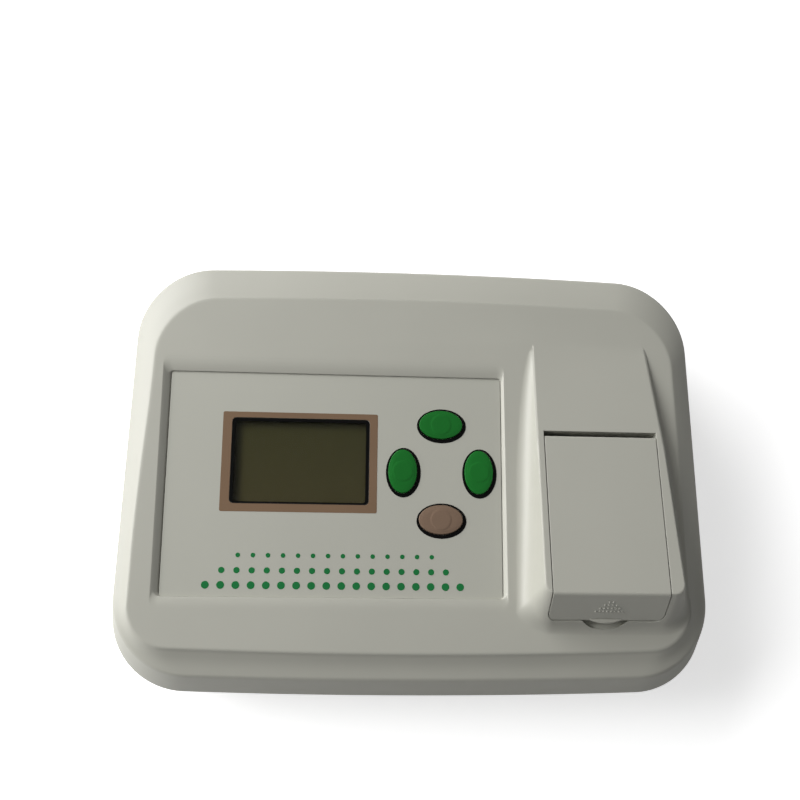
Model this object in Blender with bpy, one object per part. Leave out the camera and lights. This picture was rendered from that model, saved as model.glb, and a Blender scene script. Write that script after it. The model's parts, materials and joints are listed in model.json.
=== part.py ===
"""Desktop colorimeter with a raised sample chamber, a hinged chamber lid and four oval keys.

Metres, +Z up, +X to the user's right, the user's side at -Y, origin under the middle of the feet.
The moulded top cover is one drafted shell: a sloping plateau, a chamber turret that grows out of it,
a sunk panel seat, a pocket for the lid and a finger notch in front of it.
"""

import math

import bmesh
import bpy
from mathutils import Matrix, Vector

# Overall sizes
HOUSING_WIDTH = 0.288
HOUSING_DEPTH = 0.216
WALL = 0.0025
GAP = 0.0003
OVERRUN = 0.002
FOOT_HEIGHT = 0.004
TRAY_HEIGHT = 0.026
HALF_WIDTH = HOUSING_WIDTH / 2
HALF_DEPTH = HOUSING_DEPTH / 2

# Top cover
FRONT_EDGE_RISE = 0.0212
PLATEAU_SLOPE = math.radians(8.3)
SHOULDER_DROP = 0.0058
SHOULDER_FRONT = 0.0117
SHOULDER_BACK = 0.0172
SHOULDER_SIDE = 0.0092
STEP_DROP = 0.0022
STEP_RUN = 0.0009
SIDE_DRAFT_SHARE = 0.18
END_DRAFT_SHARE = 0.35
RIM_CORNER = 0.036
EDGE_CORNER_FRONT = 0.020
EDGE_CORNER_BACK = 0.030
END_BOW = 0.003
CORNER_STEPS = 7
PLAN_CORNER_STEPS = 3
END_STEPS = 6
SIDE_STEPS = 3
SHARP_ANGLE = math.radians(35)
BEVEL_ANGLE = math.radians(40)

# Chamber turret, placed from the right side, the front and the back of the case
TURRET_RISE = 0.043
TURRET_WIDTH = 0.0660
TURRET_SIDE_FRONT = 0.0210
TURRET_SIDE_MIDDLE = 0.0244
TURRET_SIDE_BACK = 0.0304
TURRET_FROM_FRONT = 0.0419
TURRET_FROM_BACK = 0.0455
TURRET_BEND_RUN = 0.0681
TURRET_RIGHT_FRONT = HALF_WIDTH - TURRET_SIDE_FRONT
TURRET_RIGHT_MIDDLE = HALF_WIDTH - TURRET_SIDE_MIDDLE
TURRET_RIGHT_BACK = HALF_WIDTH - TURRET_SIDE_BACK
TURRET_LEFT = TURRET_RIGHT_FRONT - TURRET_WIDTH
TURRET_FRONT = -HALF_DEPTH + TURRET_FROM_FRONT
TURRET_BACK = HALF_DEPTH - TURRET_FROM_BACK
TURRET_MIDDLE_Y = TURRET_FRONT + TURRET_BEND_RUN
TURRET_TOP_CORNER = 0.005
TURRET_FOOT_CORNER = 0.013
TURRET_BACK_CORNER = 0.003
TURRET_DROP = 0.022
FLANK_LEAN_SHARE = 0.27
FRONT_LEAN_SHARE = 0.65
FLARE_HEIGHTS = (0.0060, 0.0028, 0.0010, -0.0011)
FLARE_RUNS = (0.0, 0.0009, 0.0022, 0.0046)
RIGHT_FLARE_SHARE = 0.4
FLARE_FULL_HEIGHT = 0.010
CAVITY_FOOT = 0.018
TURRET_EDGE_STEPS = (1, 2, 3, 1, 3)

# Lid and its pocket, placed from the turret
LID_FROM_LEFT = 0.0038
LID_SET_BACK = 0.0001
LID_WIDTH = 0.0546
LID_LENGTH = 0.0756
LID_LEFT = TURRET_LEFT + LID_FROM_LEFT
LID_RIGHT = LID_LEFT + LID_WIDTH
LID_FRONT = TURRET_FRONT + LID_SET_BACK
LID_BACK = LID_FRONT + LID_LENGTH
LID_SLAB = 0.0035
LID_APRON = 0.0030
LID_FACE_HEIGHT = 0.0153
LID_CORNER = 0.004
LID_GAP = 0.0004
LID_BACK_SLOT = 0.0024
HINGE_FROM_BACK = 0.0041
HINGE_Y = LID_BACK - HINGE_FROM_BACK
HINGE_DROP = 0.0044
HINGE_BARREL_RADIUS = 0.0032
HINGE_BARREL_END_GAP = 0.0006
HINGE_TROUGH_FRONT = 0.0065
HINGE_TROUGH_DEPTH = 0.0095
HINGE_PIN_RADIUS = 0.0015
HINGE_PIN_IN_LID = 0.0062
HINGE_PIN_IN_COVER = 0.0022
TAB_WIDTH = 0.0186
TAB_REACH = 0.0012
TAB_THICKNESS = 0.0012
NOTCH_WIDTH = 0.0226
NOTCH_REACH = 0.0038
NOTCH_DEPTH = 0.0050
NOTCH_UNDERCUT = 0.0005
NOTCH_STEPS = 12

# Panel seat and faceplate, in the panel's own frame: u to the right, v up the slope, w outwards
PANEL_FROM_SIDE = 0.0249
PANEL_TO_TURRET = 0.0161
PANEL_LEFT = -HALF_WIDTH + PANEL_FROM_SIDE
PANEL_WIDTH = TURRET_LEFT - PANEL_TO_TURRET - PANEL_LEFT
PANEL_HEIGHT = 0.1067
PANEL_FRONT_SHARE = 0.3956
PANEL_SUNK = 0.0018
PLATE_THICKNESS = 0.0010
SEAT_MARGIN = 0.0005
SEAT_BEVEL = 0.0024
SEAT_CORNER = 0.002
SEAT_CORNER_STEPS = 4
DISPLAY_LEFT = 0.0299
DISPLAY_BOTTOM = 0.0433
DISPLAY_HEIGHT = 0.0414
DISPLAY_CORNER = 0.002
WINDOW_THICKNESS = 0.0005
WINDOW_SUNK = 0.0003
BEZEL_LIP = 0.0010
BEZEL_FRAME = 0.0030
BEZEL_DEPTH = 0.0070
BEZEL_FACE = 0.0016
BEZEL_WALL = 0.0008
GLASS_THICKNESS = 0.0020
LCD_BOARD_MARGIN = 0.0040
BOARD_THICKNESS = 0.0016

# Keys
KEY_LONG = 0.0210
KEY_SHORT = 0.0138
KEY_STEPS = 32
KEY_CLEARANCE = 0.00035
KEY_PROUD = 0.0009
KEY_EDGE_ROUND = 0.0005
KEY_CROWN_INSET = 0.0022
KEY_CROWN_RISE = 0.0004
KEY_FLANGE = 0.0012
KEY_FLANGE_THICKNESS = 0.0016
KEY_STEM_RADIUS = 0.0020
KEY_STEM_LENGTH = 0.0014
KEY_TRAVEL = 0.0006
KEY_CROSS_FROM_RIGHT = 0.0294
KEY_CROSS_U = PANEL_WIDTH - KEY_CROSS_FROM_RIGHT
KEY_CROSS_V = 0.0599
KEY_SPREAD_U = 0.01845
KEY_SPREAD_V = 0.0230
KEY_TO_DISPLAY = 0.00915
DISPLAY_WIDTH = KEY_CROSS_U - KEY_SPREAD_U - KEY_SHORT / 2 - KEY_TO_DISPLAY - DISPLAY_LEFT
SWITCH_SIZE = 0.0060
SWITCH_HEIGHT = 0.0034
PLUNGER_RADIUS = 0.0016
PLUNGER_HEIGHT = 0.0008
KEYPAD_MARGIN = 0.0050
KEYPAD_POST_U = 0.0195
KEYPAD_POST_V = 0.0205
KEYPAD_POST_RADIUS = 0.0020
SWITCH_CORNER_STEPS = 1

# Base tray, feet and screws
TRAY_INSET = 0.0012
TRAY_WALL = 0.0030
TRAY_FLOOR = 0.0025
TRAY_TAPER = 0.0050
TRAY_EDGE = 0.0030
LIP_HEIGHT = 0.0020
LIP_WALL = 0.0012
FOOT_RADIUS = 0.0075
FOOT_TAPER = 0.0010
FOOT_FROM_END = 0.028
FOOT_X = HALF_WIDTH - RIM_CORNER
FOOT_Y = HALF_DEPTH - FOOT_FROM_END
SCREW_FROM_SIDE_FRONT = 0.0165
SCREW_FROM_SIDE_BACK = 0.0235
SCREW_FROM_FRONT = 0.042
SCREW_FROM_BACK = 0.046
SCREW_X_FRONT = HALF_WIDTH - SCREW_FROM_SIDE_FRONT
SCREW_X_BACK = HALF_WIDTH - SCREW_FROM_SIDE_BACK
SCREW_Y_FRONT = -HALF_DEPTH + SCREW_FROM_FRONT
SCREW_Y_BACK = HALF_DEPTH - SCREW_FROM_BACK
SCREW_HEAD_RADIUS = 0.0031
SCREW_HEAD_HEIGHT = 0.0024
SCREW_HEAD_SUNK = 0.0060
SCREW_SHANK_RADIUS = 0.00125
SCREW_LENGTH = 0.030
SCREW_SLOT_DEPTH = 0.0010
SCREW_SLOT_WIDTH = 0.0008
TRAY_BOSS_RADIUS = 0.0052
COVER_BOSS_RADIUS = 0.0042
BOSS_GAP = 0.0004
SCREW_CLEARANCE = 0.00035
VENT_COUNT = 7
VENT_PITCH = 0.0065
VENT_LENGTH = 0.026
VENT_WIDTH = 0.0022

# Rear panel and what it carries
REAR_FROM_SIDE = 0.054
REAR_FROM_BACK = 0.0185
REAR_HALF_WIDTH = HALF_WIDTH - REAR_FROM_SIDE
REAR_PANEL_Y = HALF_DEPTH - REAR_FROM_BACK
SOCKET_PLACE_SHARE = 0.5
REAR_PANEL_THICKNESS = 0.0015
REAR_TOP_RISE = 0.028
REAR_SILL = 0.0065
INLET_X = -REAR_HALF_WIDTH * SOCKET_PLACE_SHARE
INLET_FLANGE_WIDTH = 0.031
INLET_FLANGE_HEIGHT = 0.041
INLET_FLANGE_THICKNESS = 0.0024
INLET_BODY_WIDTH = 0.0272
INLET_BODY_HEIGHT = 0.0370
INLET_BODY_DEPTH = 0.0240
INLET_CENTRE_RISE = 0.0290
SOCKET_WIDTH = 0.0238
SOCKET_HEIGHT = 0.0160
SOCKET_DEPTH = 0.0150
SOCKET_CHAMFER = 0.0040
SOCKET_RISE = 0.0072
PIN_WIDTH = 0.0020
PIN_HEIGHT = 0.0040
PIN_LENGTH = 0.0125
PIN_SPREAD = 0.0070
PIN_DROP = 0.0018
EARTH_RISE = 0.0030
DRAWER_WIDTH = 0.0210
DRAWER_HEIGHT = 0.0080
DRAWER_LENGTH = 0.0200
DRAWER_DROP = 0.0118
DRAWER_CLEARANCE = 0.0004
DRAWER_FACE = 0.0016
DRAWER_WELL_WALL = 0.0012
FUSE_RADIUS = 0.0024
FUSE_LENGTH = 0.0150
ROCKER_FROM_INLET = 0.0215
ROCKER_X = INLET_X + INLET_FLANGE_WIDTH / 2 + ROCKER_FROM_INLET
ROCKER_RISE = 0.0290
ROCKER_RADIUS = 0.0080
ROCKER_WIDTH = 0.0090
ROCKER_FACE_RISE = 0.0036
ROCKER_FACE_DIP = 0.0006
ROCKER_TILT = math.radians(10.0)
ROCKER_CLEARANCE = 0.0005
ROCKER_STUB_RADIUS = 0.0012
ROCKER_STUB_LENGTH = 0.0009
ROCKER_STEPS = 14
SWITCH_FRAME_WALL = 0.0022
SWITCH_FLANGE = 0.0020
SWITCH_FLANGE_THICKNESS = 0.0018
PORT_X = REAR_HALF_WIDTH * SOCKET_PLACE_SHARE
PORT_RISE = 0.0290
PORT_FLANGE_WIDTH = 0.0310
PORT_FLANGE_HEIGHT = 0.0125
PORT_FLANGE_THICKNESS = 0.0010
PORT_SHELL_WIDTH = 0.0172
PORT_SHELL_HEIGHT = 0.0088
PORT_SHELL_LENGTH = 0.0058
PORT_SHELL_WALL = 0.0006
PORT_SLANT = 0.0012
PORT_CORNER = 0.0016
PORT_INSERT_SUNK = 0.0012
PORT_BACK_DEPTH = 0.0060

# Sample chamber and optics
WELL_FROM_FRONT = 0.0345
WELL_X = (LID_LEFT + LID_RIGHT) / 2
WELL_Y = LID_FRONT + WELL_FROM_FRONT
WELL_WIDTH = 0.034
WELL_LENGTH = 0.046
WELL_DEPTH = 0.045
WELL_WALL = 0.0030
WELL_CORNER = 0.002
RIM_WIDTH = 0.0435
RIM_LENGTH = 0.0550
RIM_HEIGHT = 0.0045
SEAL_WIDTH = 0.0016
SEAL_HEIGHT = 0.0019
GROOVE_DEPTH = 0.0021
GROOVE_CLEARANCE = 0.0003
HOLDER_CLEARANCE = 0.0003
HOLDER_HEIGHT = 0.030
CELL_WIDTH = 0.0129
CELL_LENGTH = 0.0354
CELL_FLOOR = 0.003
BEAM_Z = 0.042
BEAM_RADIUS = 0.004
OPTIC_RADIUS = 0.0055
LAMP_HOUSING_SIZE = 0.0200
LAMP_HOUSING_LENGTH = 0.0250
LENS_THICKNESS = 0.0032
FILTER_THICKNESS = 0.0020
LAMP_LENGTH = 0.0120
OPTIC_SPACING = 0.0012
DIODE_RADIUS = 0.0040
DIODE_LENGTH = 0.0034
DIODE_FLANGE = 0.0007
DETECTOR_WIDTH = 0.024
DETECTOR_HEIGHT = 0.020
ROUND_STEPS = 24
FINE_STEPS = 20
PIN_STEPS = 16
SMALL_STEPS = 12

# Electronics in the tray
CORE_FROM_SIDE = 0.049
CORE_FROM_REAR = 0.0495
CORE_X = -HALF_WIDTH + CORE_FROM_SIDE
CORE_Y = REAR_PANEL_Y - CORE_FROM_REAR
VENT_X = CORE_X
VENT_Y = CORE_Y
BOARD_FROM_SIDE = 0.036
BOARD_FROM_FRONT = 0.037
BOARD_TO_CORE = 0.025
BOARD_WIDTH = 0.120
BOARD_LENGTH = CORE_Y - BOARD_TO_CORE + HALF_DEPTH - BOARD_FROM_FRONT
BOARD_X = -HALF_WIDTH + BOARD_FROM_SIDE + BOARD_WIDTH / 2
BOARD_Y = -HALF_DEPTH + BOARD_FROM_FRONT + BOARD_LENGTH / 2
BOARD_RISE = 0.0100
POST_RADIUS = 0.0030
POST_INSET = 0.0060
CHIP_SIZE = 0.0140
CHIP_HEIGHT = 0.0018
MEMORY_WIDTH = 0.0050
MEMORY_LENGTH = 0.0100
BIG_CAPACITOR_RADIUS = 0.0050
BIG_CAPACITOR_HEIGHT = 0.0160
SMALL_CAPACITOR_RADIUS = 0.0032
SMALL_CAPACITOR_HEIGHT = 0.0110
HEATSINK_WIDTH = 0.016
HEATSINK_HEIGHT = 0.018
HEATSINK_DEPTH = 0.010
HEATSINK_WEB = 0.0020
HEATSINK_FINS = 4
CONNECTOR_LENGTH = 0.0260
CONNECTOR_WIDTH = 0.0060
CONNECTOR_HEIGHT = 0.0080
CONNECTOR_WALL = 0.0010
CONNECTOR_DEPTH = 0.0050
CORE_WIDTH = 0.048
CORE_HEIGHT = 0.040
CORE_STACK = 0.018
CORE_LEG = 0.008
WINDING_WRAP = 0.0064
WINDING_CORNER = 0.003
CHAMFER_SHARE = 0.25
BOARD_PART_SHARES = {
    "processor_chip": (0.05, -0.10),
    "memory_chip": (0.45, -0.10),
    "filter_capacitor": (-0.60, 0.45),
    "output_capacitor": (-0.30, 0.50),
    "regulator_heatsink": (-0.75, -0.45),
    "ribbon_connector": (0.50, 0.70),
}

# Colour, roughness and metallic of each finish
FINISHES = {
    "shell_plastic": ((0.78, 0.77, 0.72), 0.45, 0.0),
    "tray_plastic": ((0.62, 0.61, 0.57), 0.50, 0.0),
    "printed_plate": ((0.80, 0.80, 0.76), 0.35, 0.0),
    "clear_plastic": ((0.60, 0.62, 0.60), 0.10, 0.0),
    "black_plastic": ((0.015, 0.015, 0.017), 0.50, 0.0),
    "black_metal": ((0.01, 0.01, 0.01), 0.40, 0.6),
    "lcd_glass": ((0.055, 0.050, 0.026), 0.15, 0.0),
    "key_green": ((0.005, 0.090, 0.012), 0.35, 0.0),
    "key_tan": ((0.20, 0.15, 0.11), 0.35, 0.0),
    "rubber": ((0.02, 0.02, 0.02), 0.85, 0.0),
    "steel": ((0.55, 0.55, 0.56), 0.30, 1.0),
    "painted_sheet": ((0.60, 0.60, 0.57), 0.40, 0.0),
    "drawer_plastic": ((0.03, 0.03, 0.032), 0.45, 0.0),
    "rocker_plastic": ((0.02, 0.02, 0.022), 0.30, 0.0),
    "chamber_black": ((0.012, 0.012, 0.013), 0.60, 0.0),
    "holder_black": ((0.02, 0.02, 0.021), 0.50, 0.0),
    "glass": ((0.80, 0.85, 0.85), 0.05, 0.0),
    "blue_glass": ((0.05, 0.12, 0.50), 0.08, 0.0),
    "lamp_glass": ((0.90, 0.88, 0.80), 0.10, 0.0),
    "circuit_board": ((0.02, 0.18, 0.06), 0.45, 0.0),
    "capacitor_sleeve": ((0.03, 0.05, 0.12), 0.40, 0.0),
    "connector_plastic": ((0.75, 0.74, 0.68), 0.50, 0.0),
    "black_aluminium": ((0.03, 0.03, 0.03), 0.40, 0.8),
    "lamination": ((0.25, 0.24, 0.23), 0.50, 0.7),
    "winding_tape": ((0.55, 0.38, 0.08), 0.50, 0.0),
}

RIM_Z = FOOT_HEIGHT + TRAY_HEIGHT
BACK_REACH = HALF_DEPTH + END_BOW * (REAR_HALF_WIDTH / HALF_WIDTH) ** 2
SLOPE = math.tan(PLATEAU_SLOPE)
TURRET_TOP = RIM_Z + TURRET_RISE
SHOULDER_FRONT_Y = -HALF_DEPTH + END_DRAFT_SHARE * (FRONT_EDGE_RISE - SHOULDER_DROP)
PLATEAU_FRONT_Y = SHOULDER_FRONT_Y + SHOULDER_FRONT


def plateau_z(y):
    """Height of the plateau's plane at a distance y."""
    return RIM_Z + FRONT_EDGE_RISE + (y - PLATEAU_FRONT_Y) * SLOPE


def back_shoulder_y():
    """The skirt's top edge at the back, where the drafted back wall meets the shoulder."""
    drop_at_centre = plateau_z(-SHOULDER_BACK) - RIM_Z - SHOULDER_DROP
    return (BACK_REACH - END_DRAFT_SHARE * drop_at_centre) / (1 + END_DRAFT_SHARE * SLOPE)


SHOULDER_BACK_Y = back_shoulder_y()
PLATEAU_BACK_Y = SHOULDER_BACK_Y - SHOULDER_BACK
PLATEAU_LENGTH = (PLATEAU_BACK_Y - PLATEAU_FRONT_Y) / math.cos(PLATEAU_SLOPE)
PANEL_FROM_EDGE = (PLATEAU_LENGTH - PANEL_HEIGHT) * PANEL_FRONT_SHARE
PANEL_ORIGIN = Vector(
    (
        PANEL_LEFT,
        PLATEAU_FRONT_Y + PANEL_FROM_EDGE * math.cos(PLATEAU_SLOPE) + PANEL_SUNK * math.sin(PLATEAU_SLOPE),
        RIM_Z + FRONT_EDGE_RISE + PANEL_FROM_EDGE * math.sin(PLATEAU_SLOPE)
        - PANEL_SUNK * math.cos(PLATEAU_SLOPE),
    )
)
HINGE_Z = TURRET_TOP - HINGE_DROP
DECK_Z = TURRET_TOP - LID_SLAB - LID_GAP
LEDGE_Z = TURRET_TOP - LID_FACE_HEIGHT - LID_GAP
APRON_RUN = LID_APRON * math.sqrt(1 + FRONT_LEAN_SHARE**2)
RIM_TOP = DECK_Z - GAP
REAR_TOP_Z = RIM_Z + REAR_TOP_RISE


def clear_scene():
    for obj in list(bpy.data.objects):
        bpy.data.objects.remove(obj, do_unlink=True)
    for mesh in list(bpy.data.meshes):
        bpy.data.meshes.remove(mesh)


def finish(name):
    """The material of this name, made once from its row in FINISHES."""
    made = bpy.data.materials.get(name)
    if made:
        return made
    colour, roughness, metallic = FINISHES[name]
    made = bpy.data.materials.new(name)
    made.use_nodes = True
    shader = made.node_tree.nodes["Principled BSDF"]
    shader.inputs["Base Color"].default_value = (*colour, 1.0)
    shader.inputs["Roughness"].default_value = roughness
    shader.inputs["Metallic"].default_value = metallic
    return made


def place(name, mesh, made_of=None, parent=None, location=(0, 0, 0)):
    """Links a mesh as an object; a piece with no material is a cutter."""
    obj = bpy.data.objects.new(name, mesh)
    bpy.context.scene.collection.objects.link(obj)
    obj.parent = parent
    obj.location = location
    if made_of is None:
        obj.hide_render = True
        obj.display_type = "WIRE"
    else:
        mesh.materials.append(made_of)
    return obj


def place_prism(name, points, axis, start, stop, parent=None, location=(0, 0, 0)):
    """A straight prism that cuts or joins another piece."""
    return place(name, prism(name, points, axis, start, stop), None, parent, location)


def place_box(name, low, high, parent=None, location=(0, 0, 0)):
    """A box that cuts or joins another piece."""
    return place(name, box(name, low, high), None, parent, location)


def axis_empty(name, location, rotation=(0, 0, 0), parent=None):
    empty = bpy.data.objects.new(name, None)
    bpy.context.scene.collection.objects.link(empty)
    empty.location = location
    empty.rotation_euler = rotation
    empty.parent = parent
    return empty


def finish_mesh(name, bm, smooth=False):
    bmesh.ops.recalc_face_normals(bm, faces=bm.faces)
    mesh = bpy.data.meshes.new(name)
    bm.to_mesh(mesh)
    bm.free()
    if smooth:
        mesh.shade_smooth()
        mesh.set_sharp_from_angle(angle=SHARP_ANGLE)
    return mesh


def loft(name, rings, smooth=False):
    """A closed skin through rings of equally many points, with a flat cap on the first and the last."""
    bm = bmesh.new()
    made = [[bm.verts.new(point) for point in ring] for ring in rings]
    for lower, upper in zip(made, made[1:]):
        for index, vertex in enumerate(lower):
            after = (index + 1) % len(lower)
            bm.faces.new((vertex, lower[after], upper[after], upper[index]))
    bm.faces.new(made[0])
    bm.faces.new(made[-1])
    return finish_mesh(name, bm, smooth)


def prism(name, points, axis, start, stop, smooth=False):
    """An outline pushed along X, Y or Z; its points are (y, z), (x, z) or (x, y)."""
    along = {"X": (2, 0, 1), "Y": (0, 2, 1), "Z": (0, 1, 2)}[axis]

    def at(point, height):
        triple = (*point, height)
        return tuple(triple[index] for index in along)

    rings = [[at(point, height) for point in points] for height in (start, stop)]
    return loft(name, rings, smooth)


def box(name, low, high):
    corners = ((low[0], low[1]), (high[0], low[1]), (high[0], high[1]), (low[0], high[1]))
    return prism(name, corners, "Z", low[2], high[2])


def centred_box(name, size, base=0):
    """A box centred over the local origin that stands on the height base."""
    half_x = size[0] / 2
    half_y = size[1] / 2
    return box(name, (-half_x, -half_y, base), (half_x, half_y, base + size[2]))


def ellipse(long_radius, short_radius, steps):
    turns = [2 * math.pi * index / steps for index in range(steps)]
    return [(long_radius * math.cos(turn), short_radius * math.sin(turn)) for turn in turns]


def circle(radius, steps=ROUND_STEPS, centre=(0, 0)):
    return [(x + centre[0], y + centre[1]) for x, y in ellipse(radius, radius, steps)]


def lathe(name, profile, axis="Z", steps=ROUND_STEPS):
    """A turned piece from (radius, height) pairs that run from one end face to the other."""
    order = {"X": (2, 0, 1), "Y": (0, 2, 1), "Z": (0, 1, 2)}[axis]
    rings = []
    for radius, height in profile:
        ring = [(x, y, height) for x, y in circle(radius, steps)]
        rings.append([tuple(point[index] for index in order) for point in ring])
    return loft(name, rings, smooth=True)


def rounded_outline(corners, radii, corner_steps=CORNER_STEPS, edge_steps=None):
    """The corners in order, each turned by an arc, with edge_steps pieces on each edge that follows."""
    count = len(corners)
    edge_steps = edge_steps or [1] * count
    arcs = []
    for index, corner in enumerate(corners):
        here = Vector(corner)
        before = (Vector(corners[index - 1]) - here).normalized()
        after = (Vector(corners[(index + 1) % count]) - here).normalized()
        half = before.angle(after) / 2
        bisector = (before + after).normalized()
        centre = here + bisector * (radii[index] / math.sin(half))
        first = here + before * (radii[index] / math.tan(half)) - centre
        sweep = first.angle_signed(here + after * (radii[index] / math.tan(half)) - centre)
        arc = []
        for step in range(corner_steps + 1):
            turn = Matrix.Rotation(-sweep * step / corner_steps, 2)
            arc.append(centre + turn @ first)
        arcs.append(arc)
    points = []
    for index, arc in enumerate(arcs):
        points.extend(arc)
        start = arc[-1]
        stop = arcs[(index + 1) % count][0]
        pieces = edge_steps[index]
        points.extend(start.lerp(stop, step / pieces) for step in range(1, pieces))
    return [(point.x, point.y) for point in points]


def rounded_rectangle(low, high, radius, corner_steps=PLAN_CORNER_STEPS):
    corners = ((low[0], low[1]), (high[0], low[1]), (high[0], high[1]), (low[0], high[1]))
    return rounded_outline(corners, [radius] * len(corners), corner_steps)


def combine(target, tool, operation="DIFFERENCE"):
    modifier = target.modifiers.new(f"{operation.lower()}_{tool.name}", "BOOLEAN")
    modifier.operation = operation
    modifier.solver = "EXACT"
    modifier.object = tool
    return target


def soften(obj, width, segments=1):
    modifier = obj.modifiers.new("edge_round", "BEVEL")
    modifier.width = width
    modifier.segments = segments
    modifier.limit_method = "ANGLE"
    modifier.angle_limit = BEVEL_ANGLE
    return obj


def housing_ring(front, back, side_inset, radii, height):
    """One level of the housing: a bowed, rounded outline whose sides follow the skirt's draft."""
    half = HALF_WIDTH - side_inset
    corners = ((-half, front), (half, front), (half, back), (-half, back))
    steps = (END_STEPS, SIDE_STEPS, END_STEPS, SIDE_STEPS)
    plan = rounded_outline(corners, (radii[0], radii[0], radii[1], radii[1]), CORNER_STEPS, steps)
    middle = (front + back) / 2
    reach = (back - front) / 2
    ring = []
    for x, y in plan:
        bowed = y - END_BOW * (y - middle) / reach * (x / half) ** 2
        z = height(bowed)
        ring.append((x * (1 - SIDE_DRAFT_SHARE * (z - RIM_Z) / half), bowed, z))
    return ring


def cover_shell_rings():
    """Inner ceiling, down the inside, across the rim, up the outside and onto the plateau."""

    def rim(_y):
        return RIM_Z

    def shoulder(y):
        return plateau_z(y) - SHOULDER_DROP

    def step(y):
        return plateau_z(y) - STEP_DROP

    edge_radii = (EDGE_CORNER_FRONT, EDGE_CORNER_BACK)
    edge_inner = (EDGE_CORNER_FRONT - WALL, EDGE_CORNER_BACK - WALL)
    rim_radii = (RIM_CORNER, RIM_CORNER)
    rim_inner = (RIM_CORNER - WALL, RIM_CORNER - WALL)
    front = PLATEAU_FRONT_Y
    back = PLATEAU_BACK_Y
    side = SHOULDER_SIDE
    return [
        housing_ring(front + WALL, back - WALL, side + WALL, edge_inner, lambda y: plateau_z(y) - WALL),
        housing_ring(
            SHOULDER_FRONT_Y + WALL, SHOULDER_BACK_Y - WALL, WALL, rim_inner, lambda y: shoulder(
                y
            ) - WALL / 2
        ),
        housing_ring(-HALF_DEPTH + WALL, BACK_REACH - WALL, WALL, rim_inner, rim),
        housing_ring(-HALF_DEPTH, BACK_REACH, 0, rim_radii, rim),
        housing_ring(SHOULDER_FRONT_Y, SHOULDER_BACK_Y, 0, rim_radii, shoulder),
        housing_ring(front - STEP_RUN, back + STEP_RUN, side - STEP_RUN, edge_radii, step),
        housing_ring(front, back, side, edge_radii, plateau_z),
    ]


def turret_outline(drop, inset=0.0, front_inset=0.0):
    """Plan of the turret at a distance below its top; the flanks lean out and the corners grow."""
    share = drop / TURRET_DROP
    lean = FLANK_LEAN_SHARE * drop
    front = TURRET_FRONT - FRONT_LEAN_SHARE * drop + inset + front_inset
    left = TURRET_LEFT - lean + inset
    corner = TURRET_TOP_CORNER + (TURRET_FOOT_CORNER - TURRET_TOP_CORNER) * share
    corners = (
        (left, front),
        (TURRET_RIGHT_FRONT + lean - inset, front),
        (TURRET_RIGHT_MIDDLE + lean - inset, TURRET_MIDDLE_Y),
        (TURRET_RIGHT_BACK + lean - inset, TURRET_BACK - inset),
        (left, TURRET_BACK - inset),
    )
    radii = (corner, corner, TURRET_DROP, TURRET_BACK_CORNER, TURRET_BACK_CORNER)
    return rounded_outline(corners, radii, CORNER_STEPS, TURRET_EDGE_STEPS)


def turret_rings():
    """The top edge, then levels that flare out where the flanks run into the plateau."""
    top = turret_outline(0)
    foot = turret_outline(TURRET_DROP)
    rings = [[(x, y, TURRET_TOP) for x, y in top]]
    for level, (rise, run) in enumerate(zip(FLARE_HEIGHTS, FLARE_RUNS), start=1):
        ring = []
        for (top_x, top_y), (foot_x, foot_y) in zip(top, foot):
            clear = TURRET_TOP - plateau_z(top_y)
            size = min(1.0, max(clear / FLARE_FULL_HEIGHT, 0.0))
            lean_x = foot_x - top_x
            lean_y = foot_y - top_y
            fall = (clear - rise * size) / (TURRET_DROP + lean_y * SLOPE)
            fall = max(fall, level * GAP / TURRET_DROP)
            length = math.hypot(lean_x, lean_y)
            spread = run * size / length if length > GAP else 0.0
            if lean_x > GAP:
                spread *= RIGHT_FLARE_SHARE
            x = top_x + lean_x * (fall + spread)
            y = top_y + lean_y * (fall + spread)
            ring.append(
                (
                    x,
                    y,
                    TURRET_TOP - TURRET_DROP * fall - run * size * SLOPE * max(-lean_y, 0.0) / TURRET_DROP,
                )
            )
        rings.append(ring)
    return rings


def pocket_profile(offset=0.0):
    """Side view of the lid's pocket as (y, z): back wall, hinge trough, deck, front slope and ledge."""
    back = LID_BACK + LID_BACK_SLOT + offset
    trough_front = HINGE_Y - HINGE_TROUGH_FRONT - offset
    trough_floor = TURRET_TOP - HINGE_TROUGH_DEPTH - offset
    deck = DECK_Z - offset
    ledge = LEDGE_Z - offset
    face = LID_FRONT + APRON_RUN + LID_GAP + offset * math.sqrt(1 + FRONT_LEAN_SHARE**2)
    outside = -HALF_DEPTH
    above = TURRET_TOP + WALL + OVERRUN
    return [
        (back, above),
        (back, trough_floor),
        (trough_front, trough_floor),
        (trough_front, deck),
        (face - FRONT_LEAN_SHARE * (TURRET_TOP - deck), deck),
        (face - FRONT_LEAN_SHARE * (TURRET_TOP - ledge), ledge),
        (outside, ledge),
        (outside, above),
    ]


def lid_trim(name, grow):
    """Front view of the lid with its two round lower corners, pushed through from front to back."""
    low = (LID_LEFT - grow, TURRET_TOP - LID_FACE_HEIGHT - grow)
    high = (LID_RIGHT + grow, TURRET_TOP + WALL + OVERRUN)
    corners = (low, (high[0], low[1]), high, (low[0], high[1]))
    radii = (LID_CORNER + grow, LID_CORNER + grow, GAP, GAP)
    mesh = prism(name, rounded_outline(corners, radii, CORNER_STEPS), "Y", -HALF_DEPTH, HALF_DEPTH)
    return place(name, mesh)


def make_pocket_cutter():
    low = LID_LEFT - LID_GAP
    high = LID_RIGHT + LID_GAP
    pocket = place_prism("cut_lid_pocket", pocket_profile(), "X", low, high)
    return combine(pocket, lid_trim("cut_lid_pocket_trim", LID_GAP), "INTERSECT")


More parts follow.
